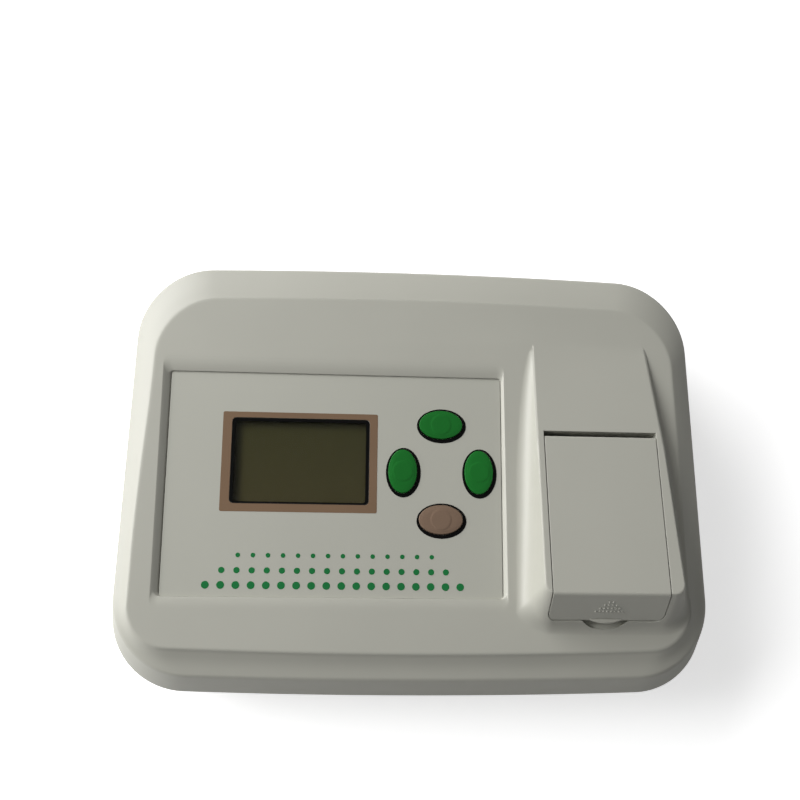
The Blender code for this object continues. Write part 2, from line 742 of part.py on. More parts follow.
def make_turret_cavity():
    """The hollow under the turret: its outline less a wall, less the pocket's own walls."""
    top_drop = WALL
    bottom_drop = TURRET_RISE - CAVITY_FOOT
    front_inset = APRON_RUN + LID_GAP
    rings = [
        [(x, y, TURRET_TOP - drop) for x, y in turret_outline(drop, WALL, front_inset)]
        for drop in (top_drop, bottom_drop)
    ]
    cavity = place("cut_turret_cavity", loft("cut_turret_cavity", rings))
    profile = pocket_profile(WALL)
    walls = prism("pocket_walls", profile, "X", TURRET_LEFT - HALF_DEPTH, TURRET_RIGHT_FRONT + HALF_DEPTH)
    return combine(cavity, place("pocket_walls", walls))


def notch_outline():
    """Crescent in front of the lid's lower edge, where a fingertip reaches under the lid's tab."""
    return crescent(NOTCH_WIDTH, NOTCH_REACH, NOTCH_UNDERCUT)


def crescent(width, reach, inset):
    """Outline in plan: a chord that lies inset behind the lid's lower edge, and an arc in front of it."""
    chord_y = LID_FRONT - FRONT_LEAN_SHARE * LID_FACE_HEIGHT + inset
    depth = reach + inset
    radius = ((width / 2) ** 2 + depth**2) / (2 * depth)
    half_turn = math.asin(width / 2 / radius)
    middle = (LID_LEFT + LID_RIGHT) / 2
    points = []
    for step in range(NOTCH_STEPS + 1):
        turn = half_turn * (2 * step / NOTCH_STEPS - 1)
        x = middle + radius * math.sin(turn)
        points.append((x, chord_y - depth + radius * (1 - math.cos(turn))))
    return points


def seat_rings():
    """Cutter for the sunk panel seat, in the panel's frame: straight below, bevelled to the plateau."""
    floor = -PLATE_THICKNESS - GAP
    low = (-SEAT_MARGIN, -SEAT_MARGIN)
    high = (PANEL_WIDTH + SEAT_MARGIN, PANEL_HEIGHT + SEAT_MARGIN)
    top = PANEL_SUNK + OVERRUN
    rings = []
    for grow, w in ((0.0, floor), (0.0, 0.0), (SEAT_BEVEL * top / PANEL_SUNK, top)):
        outline = rounded_rectangle(
            (low[0] - grow, low[1] - grow), (
                high[0] + grow, high[1] + grow
            ), SEAT_CORNER + grow, SEAT_CORNER_STEPS
        )
        rings.append([(u, v, w) for u, v in outline])
    return rings


def key_places():
    """Name, place on the panel and whether the oval's long side runs along u."""
    u = KEY_CROSS_U
    v = KEY_CROSS_V
    return (
        ("top", u, v + KEY_SPREAD_V, True),
        ("left", u - KEY_SPREAD_U, v, False),
        ("right", u + KEY_SPREAD_U, v, False),
        ("bottom", u, v - KEY_SPREAD_V, True),
    )


def key_oval(grow, wide):
    long_radius = KEY_LONG / 2 + grow
    short_radius = KEY_SHORT / 2 + grow
    if wide:
        return ellipse(long_radius, short_radius, KEY_STEPS)
    return ellipse(short_radius, long_radius, KEY_STEPS)


def display_outline(grow):
    low = (DISPLAY_LEFT - grow, DISPLAY_BOTTOM - grow)
    high = (DISPLAY_LEFT + DISPLAY_WIDTH + grow, DISPLAY_BOTTOM + DISPLAY_HEIGHT + grow)
    return rounded_rectangle(low, high, max(DISPLAY_CORNER + min(grow, 0.0), GAP))


def screw_places():
    return (
        ("front_left", -SCREW_X_FRONT, SCREW_Y_FRONT),
        ("front_right", SCREW_X_FRONT, SCREW_Y_FRONT),
        ("back_left", -SCREW_X_BACK, SCREW_Y_BACK),
        ("back_right", SCREW_X_BACK, SCREW_Y_BACK),
    )


def rear_bow():
    """How far the bowed back wall has drawn in at the sides of the rear recess."""
    return END_BOW * ((REAR_HALF_WIDTH + WALL) / HALF_WIDTH) ** 2


def tray_rear_profile():
    """Side view of the tray's block round the rear panel, its outer side within the leaning wall."""
    near = REAR_PANEL_Y + REAR_PANEL_THICKNESS + GAP
    bottom = FOOT_HEIGHT + GAP + TRAY_FLOOR / 2
    top = RIM_Z - GAP
    far_top = BACK_REACH - TRAY_INSET - rear_bow() - TRAY_WALL / 3
    return [(near, bottom), (far_top - TRAY_TAPER, bottom), (far_top, top), (near, top)]


def rear_frame_profile(grow, inside):
    """Side view of the rear recess block or its cut: a leaning outer side that stays within the wall."""
    floor = RIM_Z + (0.0 if inside else -OVERRUN)
    top = REAR_TOP_Z + grow

    def wall_y(z):
        return BACK_REACH - END_DRAFT_SHARE * (z - RIM_Z) - rear_bow() - WALL / 4

    if inside:
        return [
            (REAR_PANEL_Y - WALL, floor),
            (wall_y(floor), floor),
            (wall_y(top), top),
            (REAR_PANEL_Y - WALL, top),
        ]
    far = BACK_REACH + WALL
    near = REAR_PANEL_Y - WALL - OVERRUN
    return [(near, floor), (far, floor), (far, top), (near, top)]


def make_cover(panel):
    cover = place("top_cover", loft("top_cover", cover_shell_rings(), smooth=True), finish("shell_plastic"))
    combine(cover, place("join_turret", loft("join_turret", turret_rings())), "UNION")
    pad_low = (-SEAT_MARGIN - WALL, -SEAT_MARGIN - WALL)
    pad_high = (PANEL_WIDTH + SEAT_MARGIN + WALL, PANEL_HEIGHT + SEAT_MARGIN + WALL)
    floor = -PLATE_THICKNESS - GAP
    combine(
        cover,
        place_prism(
            "join_seat_floor",
            rounded_rectangle(pad_low, pad_high, SEAT_CORNER),
            "Z",
            floor - WALL,
            floor + WALL / 2,
            parent=panel,
        ),
        "UNION",
    )
    rear_width = REAR_HALF_WIDTH + WALL
    combine(
        cover,
        place_prism("join_rear_frame", rear_frame_profile(WALL, True), "X", -rear_width, rear_width),
        "UNION",
    )
    for index, (u, v) in enumerate(keypad_posts()):
        combine(
            cover,
            place_prism(
                f"join_keypad_post_{index}",
                circle(KEYPAD_POST_RADIUS, SMALL_STEPS),
                "Z",
                keypad_top() + GAP,
                floor - WALL / 2,
                parent=panel,
                location=(u, v, 0),
            ),
            "UNION",
        )
    for name, x, y in screw_places():
        top = plateau_z(y) - WALL / 2
        start = RIM_Z + LIP_HEIGHT + BOSS_GAP
        combine(
            cover,
            place_prism(f"join_boss_{name}", circle(COVER_BOSS_RADIUS, centre=(x, y)), "Z", start, top),
            "UNION",
        )
    combine(cover, make_turret_cavity())
    combine(cover, make_pocket_cutter())
    combine(cover, place_prism("cut_notch", notch_outline(), "Z", LEDGE_Z - NOTCH_DEPTH, LEDGE_Z + WALL))
    combine(cover, place("cut_seat", loft("cut_seat", seat_rings()), parent=panel))
    below = floor - 2 * WALL
    bezel_hole = prism("cut_display", display_outline(BEZEL_FRAME + GAP), "Z", below, WALL)
    combine(cover, place("cut_display", bezel_hole, parent=panel))
    for name, u, v, wide in key_places():
        oval = key_oval(KEY_FLANGE + KEY_CLEARANCE, wide)
        hole = place_prism(f"cut_cover_key_{name}", oval, "Z", below, WALL, parent=panel)
        hole.location = (u, v, 0)
        combine(cover, hole)
    combine(
        cover,
        place_prism("cut_rear", rear_frame_profile(0.0, False), "X", -REAR_HALF_WIDTH, REAR_HALF_WIDTH),
    )
    deck_low = (WELL_X - RIM_WIDTH / 2 - GAP, WELL_Y - RIM_LENGTH / 2 - GAP)
    deck_high = (WELL_X + RIM_WIDTH / 2 + GAP, WELL_Y + RIM_LENGTH / 2 + GAP)
    combine(
        cover,
        place_prism(
            "cut_deck",
            rounded_rectangle(deck_low, deck_high, WELL_CORNER),
            "Z",
            DECK_Z - 2 * WALL,
            DECK_Z + WALL,
        ),
    )
    pin_hole_radius = HINGE_PIN_RADIUS + GAP
    low = LID_LEFT - LID_GAP - HINGE_PIN_IN_COVER - GAP
    high = LID_RIGHT + LID_GAP + HINGE_PIN_IN_COVER + GAP
    combine(
        cover,
        place_prism("cut_hinge", circle(pin_hole_radius, PIN_STEPS, (HINGE_Y, HINGE_Z)), "X", low, high),
    )
    for name, x, y in screw_places():
        start = RIM_Z - OVERRUN
        stop = FOOT_HEIGHT + SCREW_HEAD_SUNK + SCREW_LENGTH + WALL
        pilot = circle(SCREW_SHANK_RADIUS + SCREW_CLEARANCE, SMALL_STEPS, (x, y))
        combine(cover, place_prism(f"cut_pilot_{name}", pilot, "Z", start, stop))
    return cover


def make_lid(hinge):
    """Lid shell in the hinge's frame: slab, leaning apron, finger tab and hinge barrel."""
    top = TURRET_TOP
    under = top - LID_SLAB
    bottom = top - LID_FACE_HEIGHT

    def face_y(z):
        return LID_FRONT - FRONT_LEAN_SHARE * (top - z)

    profile = [
        (LID_BACK, top),
        (LID_FRONT, top),
        (face_y(bottom), bottom),
        (face_y(bottom) + APRON_RUN, bottom),
        (face_y(under) + APRON_RUN, under),
        (LID_BACK, under),
    ]
    offset = Vector((0, -HINGE_Y, -HINGE_Z))
    lid = place(
        "lid", prism("lid", profile, "X", LID_LEFT, LID_RIGHT), finish("shell_plastic"), hinge, offset
    )
    combine(lid, lid_trim("trim_lid", 0.0), "INTERSECT")
    tab_outline = crescent(TAB_WIDTH, TAB_REACH, TAB_THICKNESS)
    combine(lid, place_prism("join_tab", tab_outline, "Z", bottom, bottom + TAB_THICKNESS), "UNION")
    barrel_low = LID_LEFT + HINGE_BARREL_END_GAP
    barrel_high = LID_RIGHT - HINGE_BARREL_END_GAP
    barrel_outline = circle(HINGE_BARREL_RADIUS, FINE_STEPS, (HINGE_Y, HINGE_Z))
    combine(lid, place_prism("join_barrel", barrel_outline, "X", barrel_low, barrel_high), "UNION")
    bore_outline = circle(HINGE_PIN_RADIUS + GAP, PIN_STEPS, (HINGE_Y, HINGE_Z))
    for name, near, far in (
        ("left", LID_LEFT - OVERRUN, barrel_low + HINGE_PIN_IN_LID + GAP),
        ("right", barrel_high - HINGE_PIN_IN_LID - GAP, LID_RIGHT + OVERRUN),
    ):
        combine(lid, place_prism(f"cut_barrel_{name}", bore_outline, "X", near, far))
    return lid


def make_hinge_pins(hinge):
    left_inner = LID_LEFT + HINGE_BARREL_END_GAP + HINGE_PIN_IN_LID
    left_outer = LID_LEFT - LID_GAP - HINGE_PIN_IN_COVER
    right_inner = LID_RIGHT - HINGE_BARREL_END_GAP - HINGE_PIN_IN_LID
    right_outer = LID_RIGHT + LID_GAP + HINGE_PIN_IN_COVER
    for name, start, stop in (("left", left_outer, left_inner), ("right", right_inner, right_outer)):
        mesh = prism(
            f"hinge_pin_{name}", circle(HINGE_PIN_RADIUS, PIN_STEPS), "X", start, stop, smooth=True
        )
        place(f"hinge_pin_{name}", mesh, finish("steel"), hinge)


def make_faceplate(panel):
    outline = rounded_rectangle((0, 0), (PANEL_WIDTH, PANEL_HEIGHT), SEAT_CORNER / 2)
    mesh = prism("faceplate", outline, "Z", -PLATE_THICKNESS, 0)
    plate = place("faceplate", mesh, finish("printed_plate"), panel)
    combine(
        plate,
        place_prism(
            "cut_window", display_outline(0), "Z", -PLATE_THICKNESS - OVERRUN, OVERRUN, parent=panel
        ),
    )
    for name, u, v, wide in key_places():
        combine(
            plate,
            place_prism(
                f"cut_key_{name}",
                key_oval(KEY_CLEARANCE, wide),
                "Z",
                -PLATE_THICKNESS - OVERRUN,
                OVERRUN,
                parent=panel,
                location=(u, v, 0),
            ),
        )


def make_display(panel):
    top = -WINDOW_SUNK
    mesh = prism("display_window", display_outline(-GAP), "Z", top - WINDOW_THICKNESS, top)
    place("display_window", mesh, finish("clear_plastic"), panel)
    face = -PLATE_THICKNESS - GAP
    back = face - BEZEL_DEPTH
    bezel_mesh = prism("lcd_bezel", display_outline(BEZEL_FRAME), "Z", back, face)
    bezel = place("lcd_bezel", bezel_mesh, finish("black_metal"), panel)
    hollow = display_outline(BEZEL_FRAME - BEZEL_WALL)
    combine(
        bezel, place_prism("cut_bezel_back", hollow, "Z", back - OVERRUN, face - BEZEL_FACE, parent=panel)
    )
    combine(
        bezel,
        place_prism(
            "cut_bezel_front", display_outline(-BEZEL_LIP), "Z", back, face + OVERRUN, parent=panel
        ),
    )
    glass_top = face - BEZEL_FACE - GAP
    glass = prism(
        "lcd_glass",
        display_outline(BEZEL_FRAME - BEZEL_WALL - GAP),
        "Z",
        glass_top - GLASS_THICKNESS,
        glass_top,
    )
    place("lcd_glass", glass, finish("lcd_glass"), panel)
    board_top = back - GAP
    low = (DISPLAY_LEFT - LCD_BOARD_MARGIN, DISPLAY_BOTTOM - LCD_BOARD_MARGIN, board_top - BOARD_THICKNESS)
    high = (
        DISPLAY_LEFT + DISPLAY_WIDTH + LCD_BOARD_MARGIN,
        DISPLAY_BOTTOM + DISPLAY_HEIGHT + LCD_BOARD_MARGIN,
        board_top,
    )
    place("lcd_board", box("lcd_board", low, high), finish("circuit_board"), panel)


def key_mesh(name, wide):
    """One key about its slide axis: stem, retaining flange, oval body and crowned top."""
    stop = -PLATE_THICKNESS - GAP
    flange_bottom = stop - KEY_FLANGE_THICKNESS
    edge = KEY_PROUD - KEY_EDGE_ROUND
    turns = [2 * math.pi * index / KEY_STEPS for index in range(KEY_STEPS)]
    stem = [(KEY_STEM_RADIUS * math.cos(turn), KEY_STEM_RADIUS * math.sin(turn)) for turn in turns]
    levels = (
        (stem, flange_bottom - KEY_STEM_LENGTH),
        (stem, flange_bottom),
        (key_oval(KEY_FLANGE, wide), flange_bottom),
        (key_oval(KEY_FLANGE, wide), stop),
        (key_oval(0, wide), stop),
        (key_oval(0, wide), edge),
        (key_oval(-KEY_EDGE_ROUND, wide), KEY_PROUD),
        (key_oval(-KEY_CROWN_INSET, wide), KEY_PROUD + KEY_CROWN_RISE),
    )
    return loft(name, [[(u, v, w) for u, v in outline] for outline, w in levels], smooth=True)


def make_keys(panel):
    green = finish("key_green")
    tan = finish("key_tan")
    for name, u, v, wide in key_places():
        colour = tan if name == "bottom" else green
        place(f"key_{name}", key_mesh(f"key_{name}", wide), colour, panel, (u, v, 0))


def switch_top():
    """Height of the tact switches' plungers, clear of the stems at full travel."""
    stem_end = -PLATE_THICKNESS - GAP - KEY_FLANGE_THICKNESS - KEY_STEM_LENGTH
    return stem_end - KEY_TRAVEL - GAP


def keypad_top():
    """Height of the key board's upper face, under its switches."""
    return switch_top() - PLUNGER_HEIGHT - SWITCH_HEIGHT - GAP


def keypad_posts():
    """Where the cover's posts come down on the corners of the key board."""
    return [
        (KEY_CROSS_U + side * KEYPAD_POST_U, KEY_CROSS_V + end * KEYPAD_POST_V)
        for side in (-1, 1)
        for end in (-1, 1)
    ]


def make_keypad(panel):
    board_top = keypad_top()
    half_u = KEY_SPREAD_U + KEYPAD_MARGIN
    half_v = KEY_SPREAD_V + KEYPAD_MARGIN
    low = (KEY_CROSS_U - half_u, KEY_CROSS_V - half_v, board_top - BOARD_THICKNESS)
    high = (KEY_CROSS_U + half_u, KEY_CROSS_V + half_v, board_top)
    place("keypad_board", box("keypad_board", low, high), finish("circuit_board"), panel)
    half = SWITCH_SIZE / 2
    bevel = SWITCH_SIZE * CHAMFER_SHARE / 2
    square = rounded_rectangle((-half, -half), (half, half), bevel, SWITCH_CORNER_STEPS)
    for name, u, v, _wide in key_places():
        mesh = prism(f"key_switch_{name}", square, "Z", 0, SWITCH_HEIGHT)
        switch = place(f"key_switch_{name}", mesh, finish("black_plastic"), panel, (u, v, board_top + GAP))
        combine(
            switch,
            place_prism(
                f"join_plunger_{name}",
                circle(PLUNGER_RADIUS, SMALL_STEPS),
                "Z",
                SWITCH_HEIGHT / 2,
                SWITCH_HEIGHT + PLUNGER_HEIGHT,
                parent=panel,
                location=(u, v, board_top + GAP),
            ),
            "UNION",
        )


def tray_ring(inset, radius, z):
    """One level of the tray, the housing's outline pulled in by inset on all sides."""

    def level(_y):
        return RIM_Z

    ring = housing_ring(-HALF_DEPTH + inset, BACK_REACH - inset, inset, (radius, radius), level)
    return [(x, y, z) for x, y, _level in ring]


def tray_rings():
    """Inner floor, up the inside to the lip, over it, out to the rim and down to the underside."""
    bottom = FOOT_HEIGHT + GAP
    floor = bottom + TRAY_FLOOR
    rim = RIM_Z - GAP
    lip_top = RIM_Z + LIP_HEIGHT
    lip_outer = WALL + GAP
    lip_draft = END_DRAFT_SHARE * LIP_HEIGHT
    inner = lip_outer + lip_draft + LIP_WALL
    radius = RIM_CORNER - inner
    low_inset = TRAY_INSET + TRAY_TAPER
    return [
        tray_ring(low_inset + TRAY_WALL, radius - TRAY_TAPER, floor),
        tray_ring(inner, radius, rim),
        tray_ring(inner, radius, lip_top),
        tray_ring(lip_outer + lip_draft, radius + LIP_WALL, lip_top),
        tray_ring(lip_outer, radius + LIP_WALL + lip_draft, rim),
        tray_ring(TRAY_INSET, RIM_CORNER - TRAY_INSET, rim),
        tray_ring(low_inset, RIM_CORNER - low_inset, bottom + TRAY_EDGE),
        tray_ring(low_inset + TRAY_EDGE, RIM_CORNER - low_inset - TRAY_EDGE, bottom),
    ]


def board_posts():
    half_x = BOARD_WIDTH / 2 - POST_INSET
    half_y = BOARD_LENGTH / 2 - POST_INSET
    return [(BOARD_X + sx * half_x, BOARD_Y + sy * half_y) for sx in (-1, 1) for sy in (-1, 1)]


def make_tray():
    bottom = FOOT_HEIGHT + GAP
    floor = bottom + TRAY_FLOOR
    tray = place("base_tray", loft("base_tray", tray_rings(), smooth=True), finish("tray_plastic"))
    for name, x, y in screw_places():
        combine(
            tray,
            place_prism(
                f"join_tray_boss_{name}",
                circle(TRAY_BOSS_RADIUS, centre=(x, y)),
                "Z",
                floor - TRAY_FLOOR / 2,
                RIM_Z + LIP_HEIGHT,
            ),
            "UNION",
        )
    for index, (x, y) in enumerate(board_posts()):
        combine(
            tray,
            place_prism(
                f"join_post_{index}",
                circle(POST_RADIUS, SMALL_STEPS, (x, y)),
                "Z",
                floor - TRAY_FLOOR / 2,
                floor + BOARD_RISE - GAP,
            ),
            "UNION",
        )
    sill = FOOT_HEIGHT + REAR_SILL
    rear_low = (-REAR_HALF_WIDTH, REAR_PANEL_Y + REAR_PANEL_THICKNESS + GAP, sill)
    rear_high = (REAR_HALF_WIDTH, BACK_REACH + OVERRUN, RIM_Z + LIP_HEIGHT + OVERRUN)
    rear_width = REAR_HALF_WIDTH + WALL
    combine(tray, place_prism("join_tray_rear", tray_rear_profile(), "X", -rear_width, rear_width), "UNION")
    combine(tray, place_box("cut_tray_rear", rear_low, rear_high))
    lip_low = (-rear_width - GAP, REAR_PANEL_Y - WALL - GAP, RIM_Z - GAP)
    lip_high = (rear_width + GAP, rear_high[1], rear_high[2])
    combine(tray, place_box("cut_lip_rear", lip_low, lip_high))
    for name, x, y in screw_places():
        start = FOOT_HEIGHT - OVERRUN
        head_seat = FOOT_HEIGHT + SCREW_HEAD_SUNK + SCREW_HEAD_HEIGHT + GAP
        wide = prism(
            f"cut_counterbore_{name}",
            circle(SCREW_HEAD_RADIUS + GAP, FINE_STEPS, (x, y)),
            "Z",
            start,
            head_seat,
        )
        narrow = prism(
            f"cut_screw_{name}",
            circle(SCREW_SHANK_RADIUS + SCREW_CLEARANCE, SMALL_STEPS, (x, y)),
            "Z",
            start,
            RIM_Z + LIP_HEIGHT + OVERRUN,
        )
        combine(tray, place(f"cut_counterbore_{name}", wide))
        combine(tray, place(f"cut_screw_{name}", narrow))
    for index in range(VENT_COUNT):
        x = VENT_X + (index - (VENT_COUNT - 1) / 2) * VENT_PITCH
        low = (x - VENT_WIDTH / 2, VENT_Y - VENT_LENGTH / 2)
        high = (x + VENT_WIDTH / 2, VENT_Y + VENT_LENGTH / 2)
        combine(
            tray,
            place_prism(
                f"cut_vent_{index}",
                rounded_rectangle(low, high, VENT_WIDTH * CHAMFER_SHARE),
                "Z",
                FOOT_HEIGHT - OVERRUN,
                floor + OVERRUN,
            ),
        )


def make_feet_and_screws():
    foot_profile = ((FOOT_RADIUS - FOOT_TAPER, 0), (FOOT_RADIUS, FOOT_TAPER), (FOOT_RADIUS, FOOT_HEIGHT))
    foot = lathe("foot", foot_profile)
    foot.materials.append(finish("rubber"))
    for name, sign_x, sign_y in (
        ("front_left", -1, -1), ("front_right", 1, -1), ("back_left", -1, 1), ("back_right", 1, 1)
    ):
        foot_object = bpy.data.objects.new(f"foot_{name}", foot)
        bpy.context.scene.collection.objects.link(foot_object)
        foot_object.location = (sign_x * FOOT_X, sign_y * FOOT_Y, 0)
    screw_profile = (
        (SCREW_HEAD_RADIUS, 0),
        (SCREW_HEAD_RADIUS, SCREW_HEAD_HEIGHT),
        (SCREW_SHANK_RADIUS, SCREW_HEAD_HEIGHT),
        (SCREW_SHANK_RADIUS, SCREW_LENGTH),
    )
    for name, x, y in screw_places():
        screw = place(
            f"screw_{name}", lathe(f"screw_{name}", screw_profile, steps=SMALL_STEPS), finish("steel")
        )
        screw.location = (x, y, FOOT_HEIGHT + SCREW_HEAD_SUNK)
        slot_low = (-SCREW_HEAD_RADIUS * 2, -SCREW_SLOT_WIDTH / 2, -OVERRUN)
        slot_high = (SCREW_HEAD_RADIUS * 2, SCREW_SLOT_WIDTH / 2, SCREW_SLOT_DEPTH)
        slot = place_box(f"cut_slot_{name}", slot_low, slot_high, location=screw.location)
        combine(screw, slot)


def make_rear_panel():
    near = REAR_PANEL_Y
    far = REAR_PANEL_Y + REAR_PANEL_THICKNESS
    bottom = FOOT_HEIGHT + GAP + TRAY_FLOOR + GAP
    half = REAR_HALF_WIDTH - GAP
    mesh = box("rear_panel", (-half, near, bottom), (half, far, REAR_TOP_Z - GAP))
    panel = place("rear_panel", mesh, finish("painted_sheet"))

    def opening(name, x, z, width, height):
        low = (x - width / 2 - GAP, near - OVERRUN, z - height / 2 - GAP)
        high = (x + width / 2 + GAP, far + OVERRUN, z + height / 2 + GAP)
        combine(panel, place_box(f"cut_{name}", low, high))

    opening("inlet_hole", INLET_X, FOOT_HEIGHT + INLET_CENTRE_RISE, INLET_BODY_WIDTH, INLET_BODY_HEIGHT)
    width = ROCKER_WIDTH + 2 * (ROCKER_CLEARANCE + SWITCH_FRAME_WALL)
    height = 2 * (ROCKER_RADIUS + ROCKER_CLEARANCE + SWITCH_FRAME_WALL)
    opening("switch_hole", ROCKER_X, FOOT_HEIGHT + ROCKER_RISE, width, height)
    opening("port_hole", PORT_X, FOOT_HEIGHT + PORT_RISE, PORT_SHELL_WIDTH, PORT_SHELL_HEIGHT)


def make_inlet():
    """Mains inlet with its socket, three blades and a fuse drawer that pulls out at the back."""
    centre = axis_empty(
        "inlet_frame", (INLET_X, REAR_PANEL_Y + REAR_PANEL_THICKNESS + GAP, FOOT_HEIGHT + INLET_CENTRE_RISE)
    )
    face = INLET_FLANGE_THICKNESS
    flange = rounded_rectangle(
        (-INLET_FLANGE_WIDTH / 2, -INLET_FLANGE_HEIGHT / 2), (
            INLET_FLANGE_WIDTH / 2, INLET_FLANGE_HEIGHT / 2
        ), SEAT_CORNER
    )
    body = place("power_inlet", prism("power_inlet", flange, "Y", 0, face), finish("black_plastic"), centre)
    barrel = box(
        "join_inlet_body",
        (-INLET_BODY_WIDTH / 2, -INLET_BODY_DEPTH, -INLET_BODY_HEIGHT / 2),
        (INLET_BODY_WIDTH / 2, face / 2, INLET_BODY_HEIGHT / 2),
    )
    combine(body, place("join_inlet_body", barrel, parent=centre), "UNION")
    half_width = SOCKET_WIDTH / 2
    half_height = SOCKET_HEIGHT / 2
    socket = (
        (-half_width, SOCKET_RISE - half_height),
        (half_width, SOCKET_RISE - half_height),
        (half_width, SOCKET_RISE + half_height - SOCKET_CHAMFER),
        (half_width - SOCKET_CHAMFER, SOCKET_RISE + half_height),
        (-half_width + SOCKET_CHAMFER, SOCKET_RISE + half_height),
        (-half_width, SOCKET_RISE + half_height - SOCKET_CHAMFER),
    )
    floor = face - SOCKET_DEPTH
    combine(body, place_prism("cut_socket", socket, "Y", floor, face + OVERRUN, parent=centre))
    well_half = DRAWER_WIDTH / 2 + DRAWER_CLEARANCE
    well = box(
        "cut_drawer_well",
        (
            -well_half,
            face - DRAWER_LENGTH - DRAWER_CLEARANCE,
            -DRAWER_DROP - DRAWER_HEIGHT / 2 - DRAWER_CLEARANCE,
        ),
        (well_half, face + OVERRUN, -DRAWER_DROP + DRAWER_HEIGHT / 2 + DRAWER_CLEARANCE),
    )
    combine(body, place("cut_drawer_well", well, parent=centre))
    for name, x, z in (
        ("live", -PIN_SPREAD, SOCKET_RISE - PIN_DROP),
        ("neutral", PIN_SPREAD, SOCKET_RISE - PIN_DROP),
        ("earth", 0.0, SOCKET_RISE + EARTH_RISE),
    ):
        low = (-PIN_WIDTH / 2, 0, -PIN_HEIGHT / 2)
        high = (PIN_WIDTH / 2, PIN_LENGTH, PIN_HEIGHT / 2)
        blade = place(
            f"inlet_blade_{name}",
            box(f"inlet_blade_{name}", low, high),
            finish("steel"),
            centre,
            (x, floor + GAP, z),
        )
        soften(blade, PIN_WIDTH * CHAMFER_SHARE)
    make_fuse_drawer(centre)


def make_fuse_drawer(centre):
    """Drawer about its slide axis, with a trough that holds the fuse and a finger slot in its face."""
    slide = axis_empty("fuse_slide", (0, INLET_FLANGE_THICKNESS, -DRAWER_DROP), parent=centre)
    half_width = DRAWER_WIDTH / 2
    half_height = DRAWER_HEIGHT / 2
    drawer_box = box(
        "fuse_drawer", (-half_width, -DRAWER_LENGTH, -half_height), (half_width, 0, half_height)
    )
    drawer = place("fuse_drawer", drawer_box, finish("drawer_plastic"), slide)
    trough_low = (
        -half_width + DRAWER_WELL_WALL, -DRAWER_LENGTH + DRAWER_WELL_WALL, -half_height + DRAWER_WELL_WALL
    )
    trough_high = (half_width - DRAWER_WELL_WALL, -DRAWER_FACE - DRAWER_WELL_WALL, half_height + OVERRUN)
    combine(drawer, place_box("cut_trough", trough_low, trough_high, parent=slide))
    grip_low = (-half_width * 2 * CHAMFER_SHARE, -DRAWER_FACE, half_height - DRAWER_FACE)
    grip_high = (half_width * 2 * CHAMFER_SHARE, OVERRUN, half_height + OVERRUN)
    combine(drawer, place_box("cut_grip", grip_low, grip_high, parent=slide))
    start = -DRAWER_LENGTH + DRAWER_WELL_WALL + GAP
    height = trough_low[2] + FUSE_RADIUS + GAP
    end_cap = FUSE_LENGTH * CHAMFER_SHARE
    waist = FUSE_RADIUS - GAP
    fuse_profile = (
        (FUSE_RADIUS, 0),
        (FUSE_RADIUS, end_cap),
        (waist, end_cap),
        (waist, FUSE_LENGTH - end_cap),
        (FUSE_RADIUS, FUSE_LENGTH - end_cap),
        (FUSE_RADIUS, FUSE_LENGTH),
    )
    fuse = place("fuse", lathe("fuse", fuse_profile, "Y", PIN_STEPS), finish("steel"), slide)
    fuse.location = (0, start, height)


def rocker_outline():
    """Side view about the pivot as (y, z): a round back and two faces that meet in a shallow valley."""
    start = math.asin(ROCKER_FACE_RISE / ROCKER_RADIUS)
    points = []
    for step in range(ROCKER_STEPS + 1):
        turn = (math.pi + 2 * start) * step / ROCKER_STEPS - start
        points.append((-ROCKER_RADIUS * math.sin(turn), ROCKER_RADIUS * math.cos(turn)))
    return points


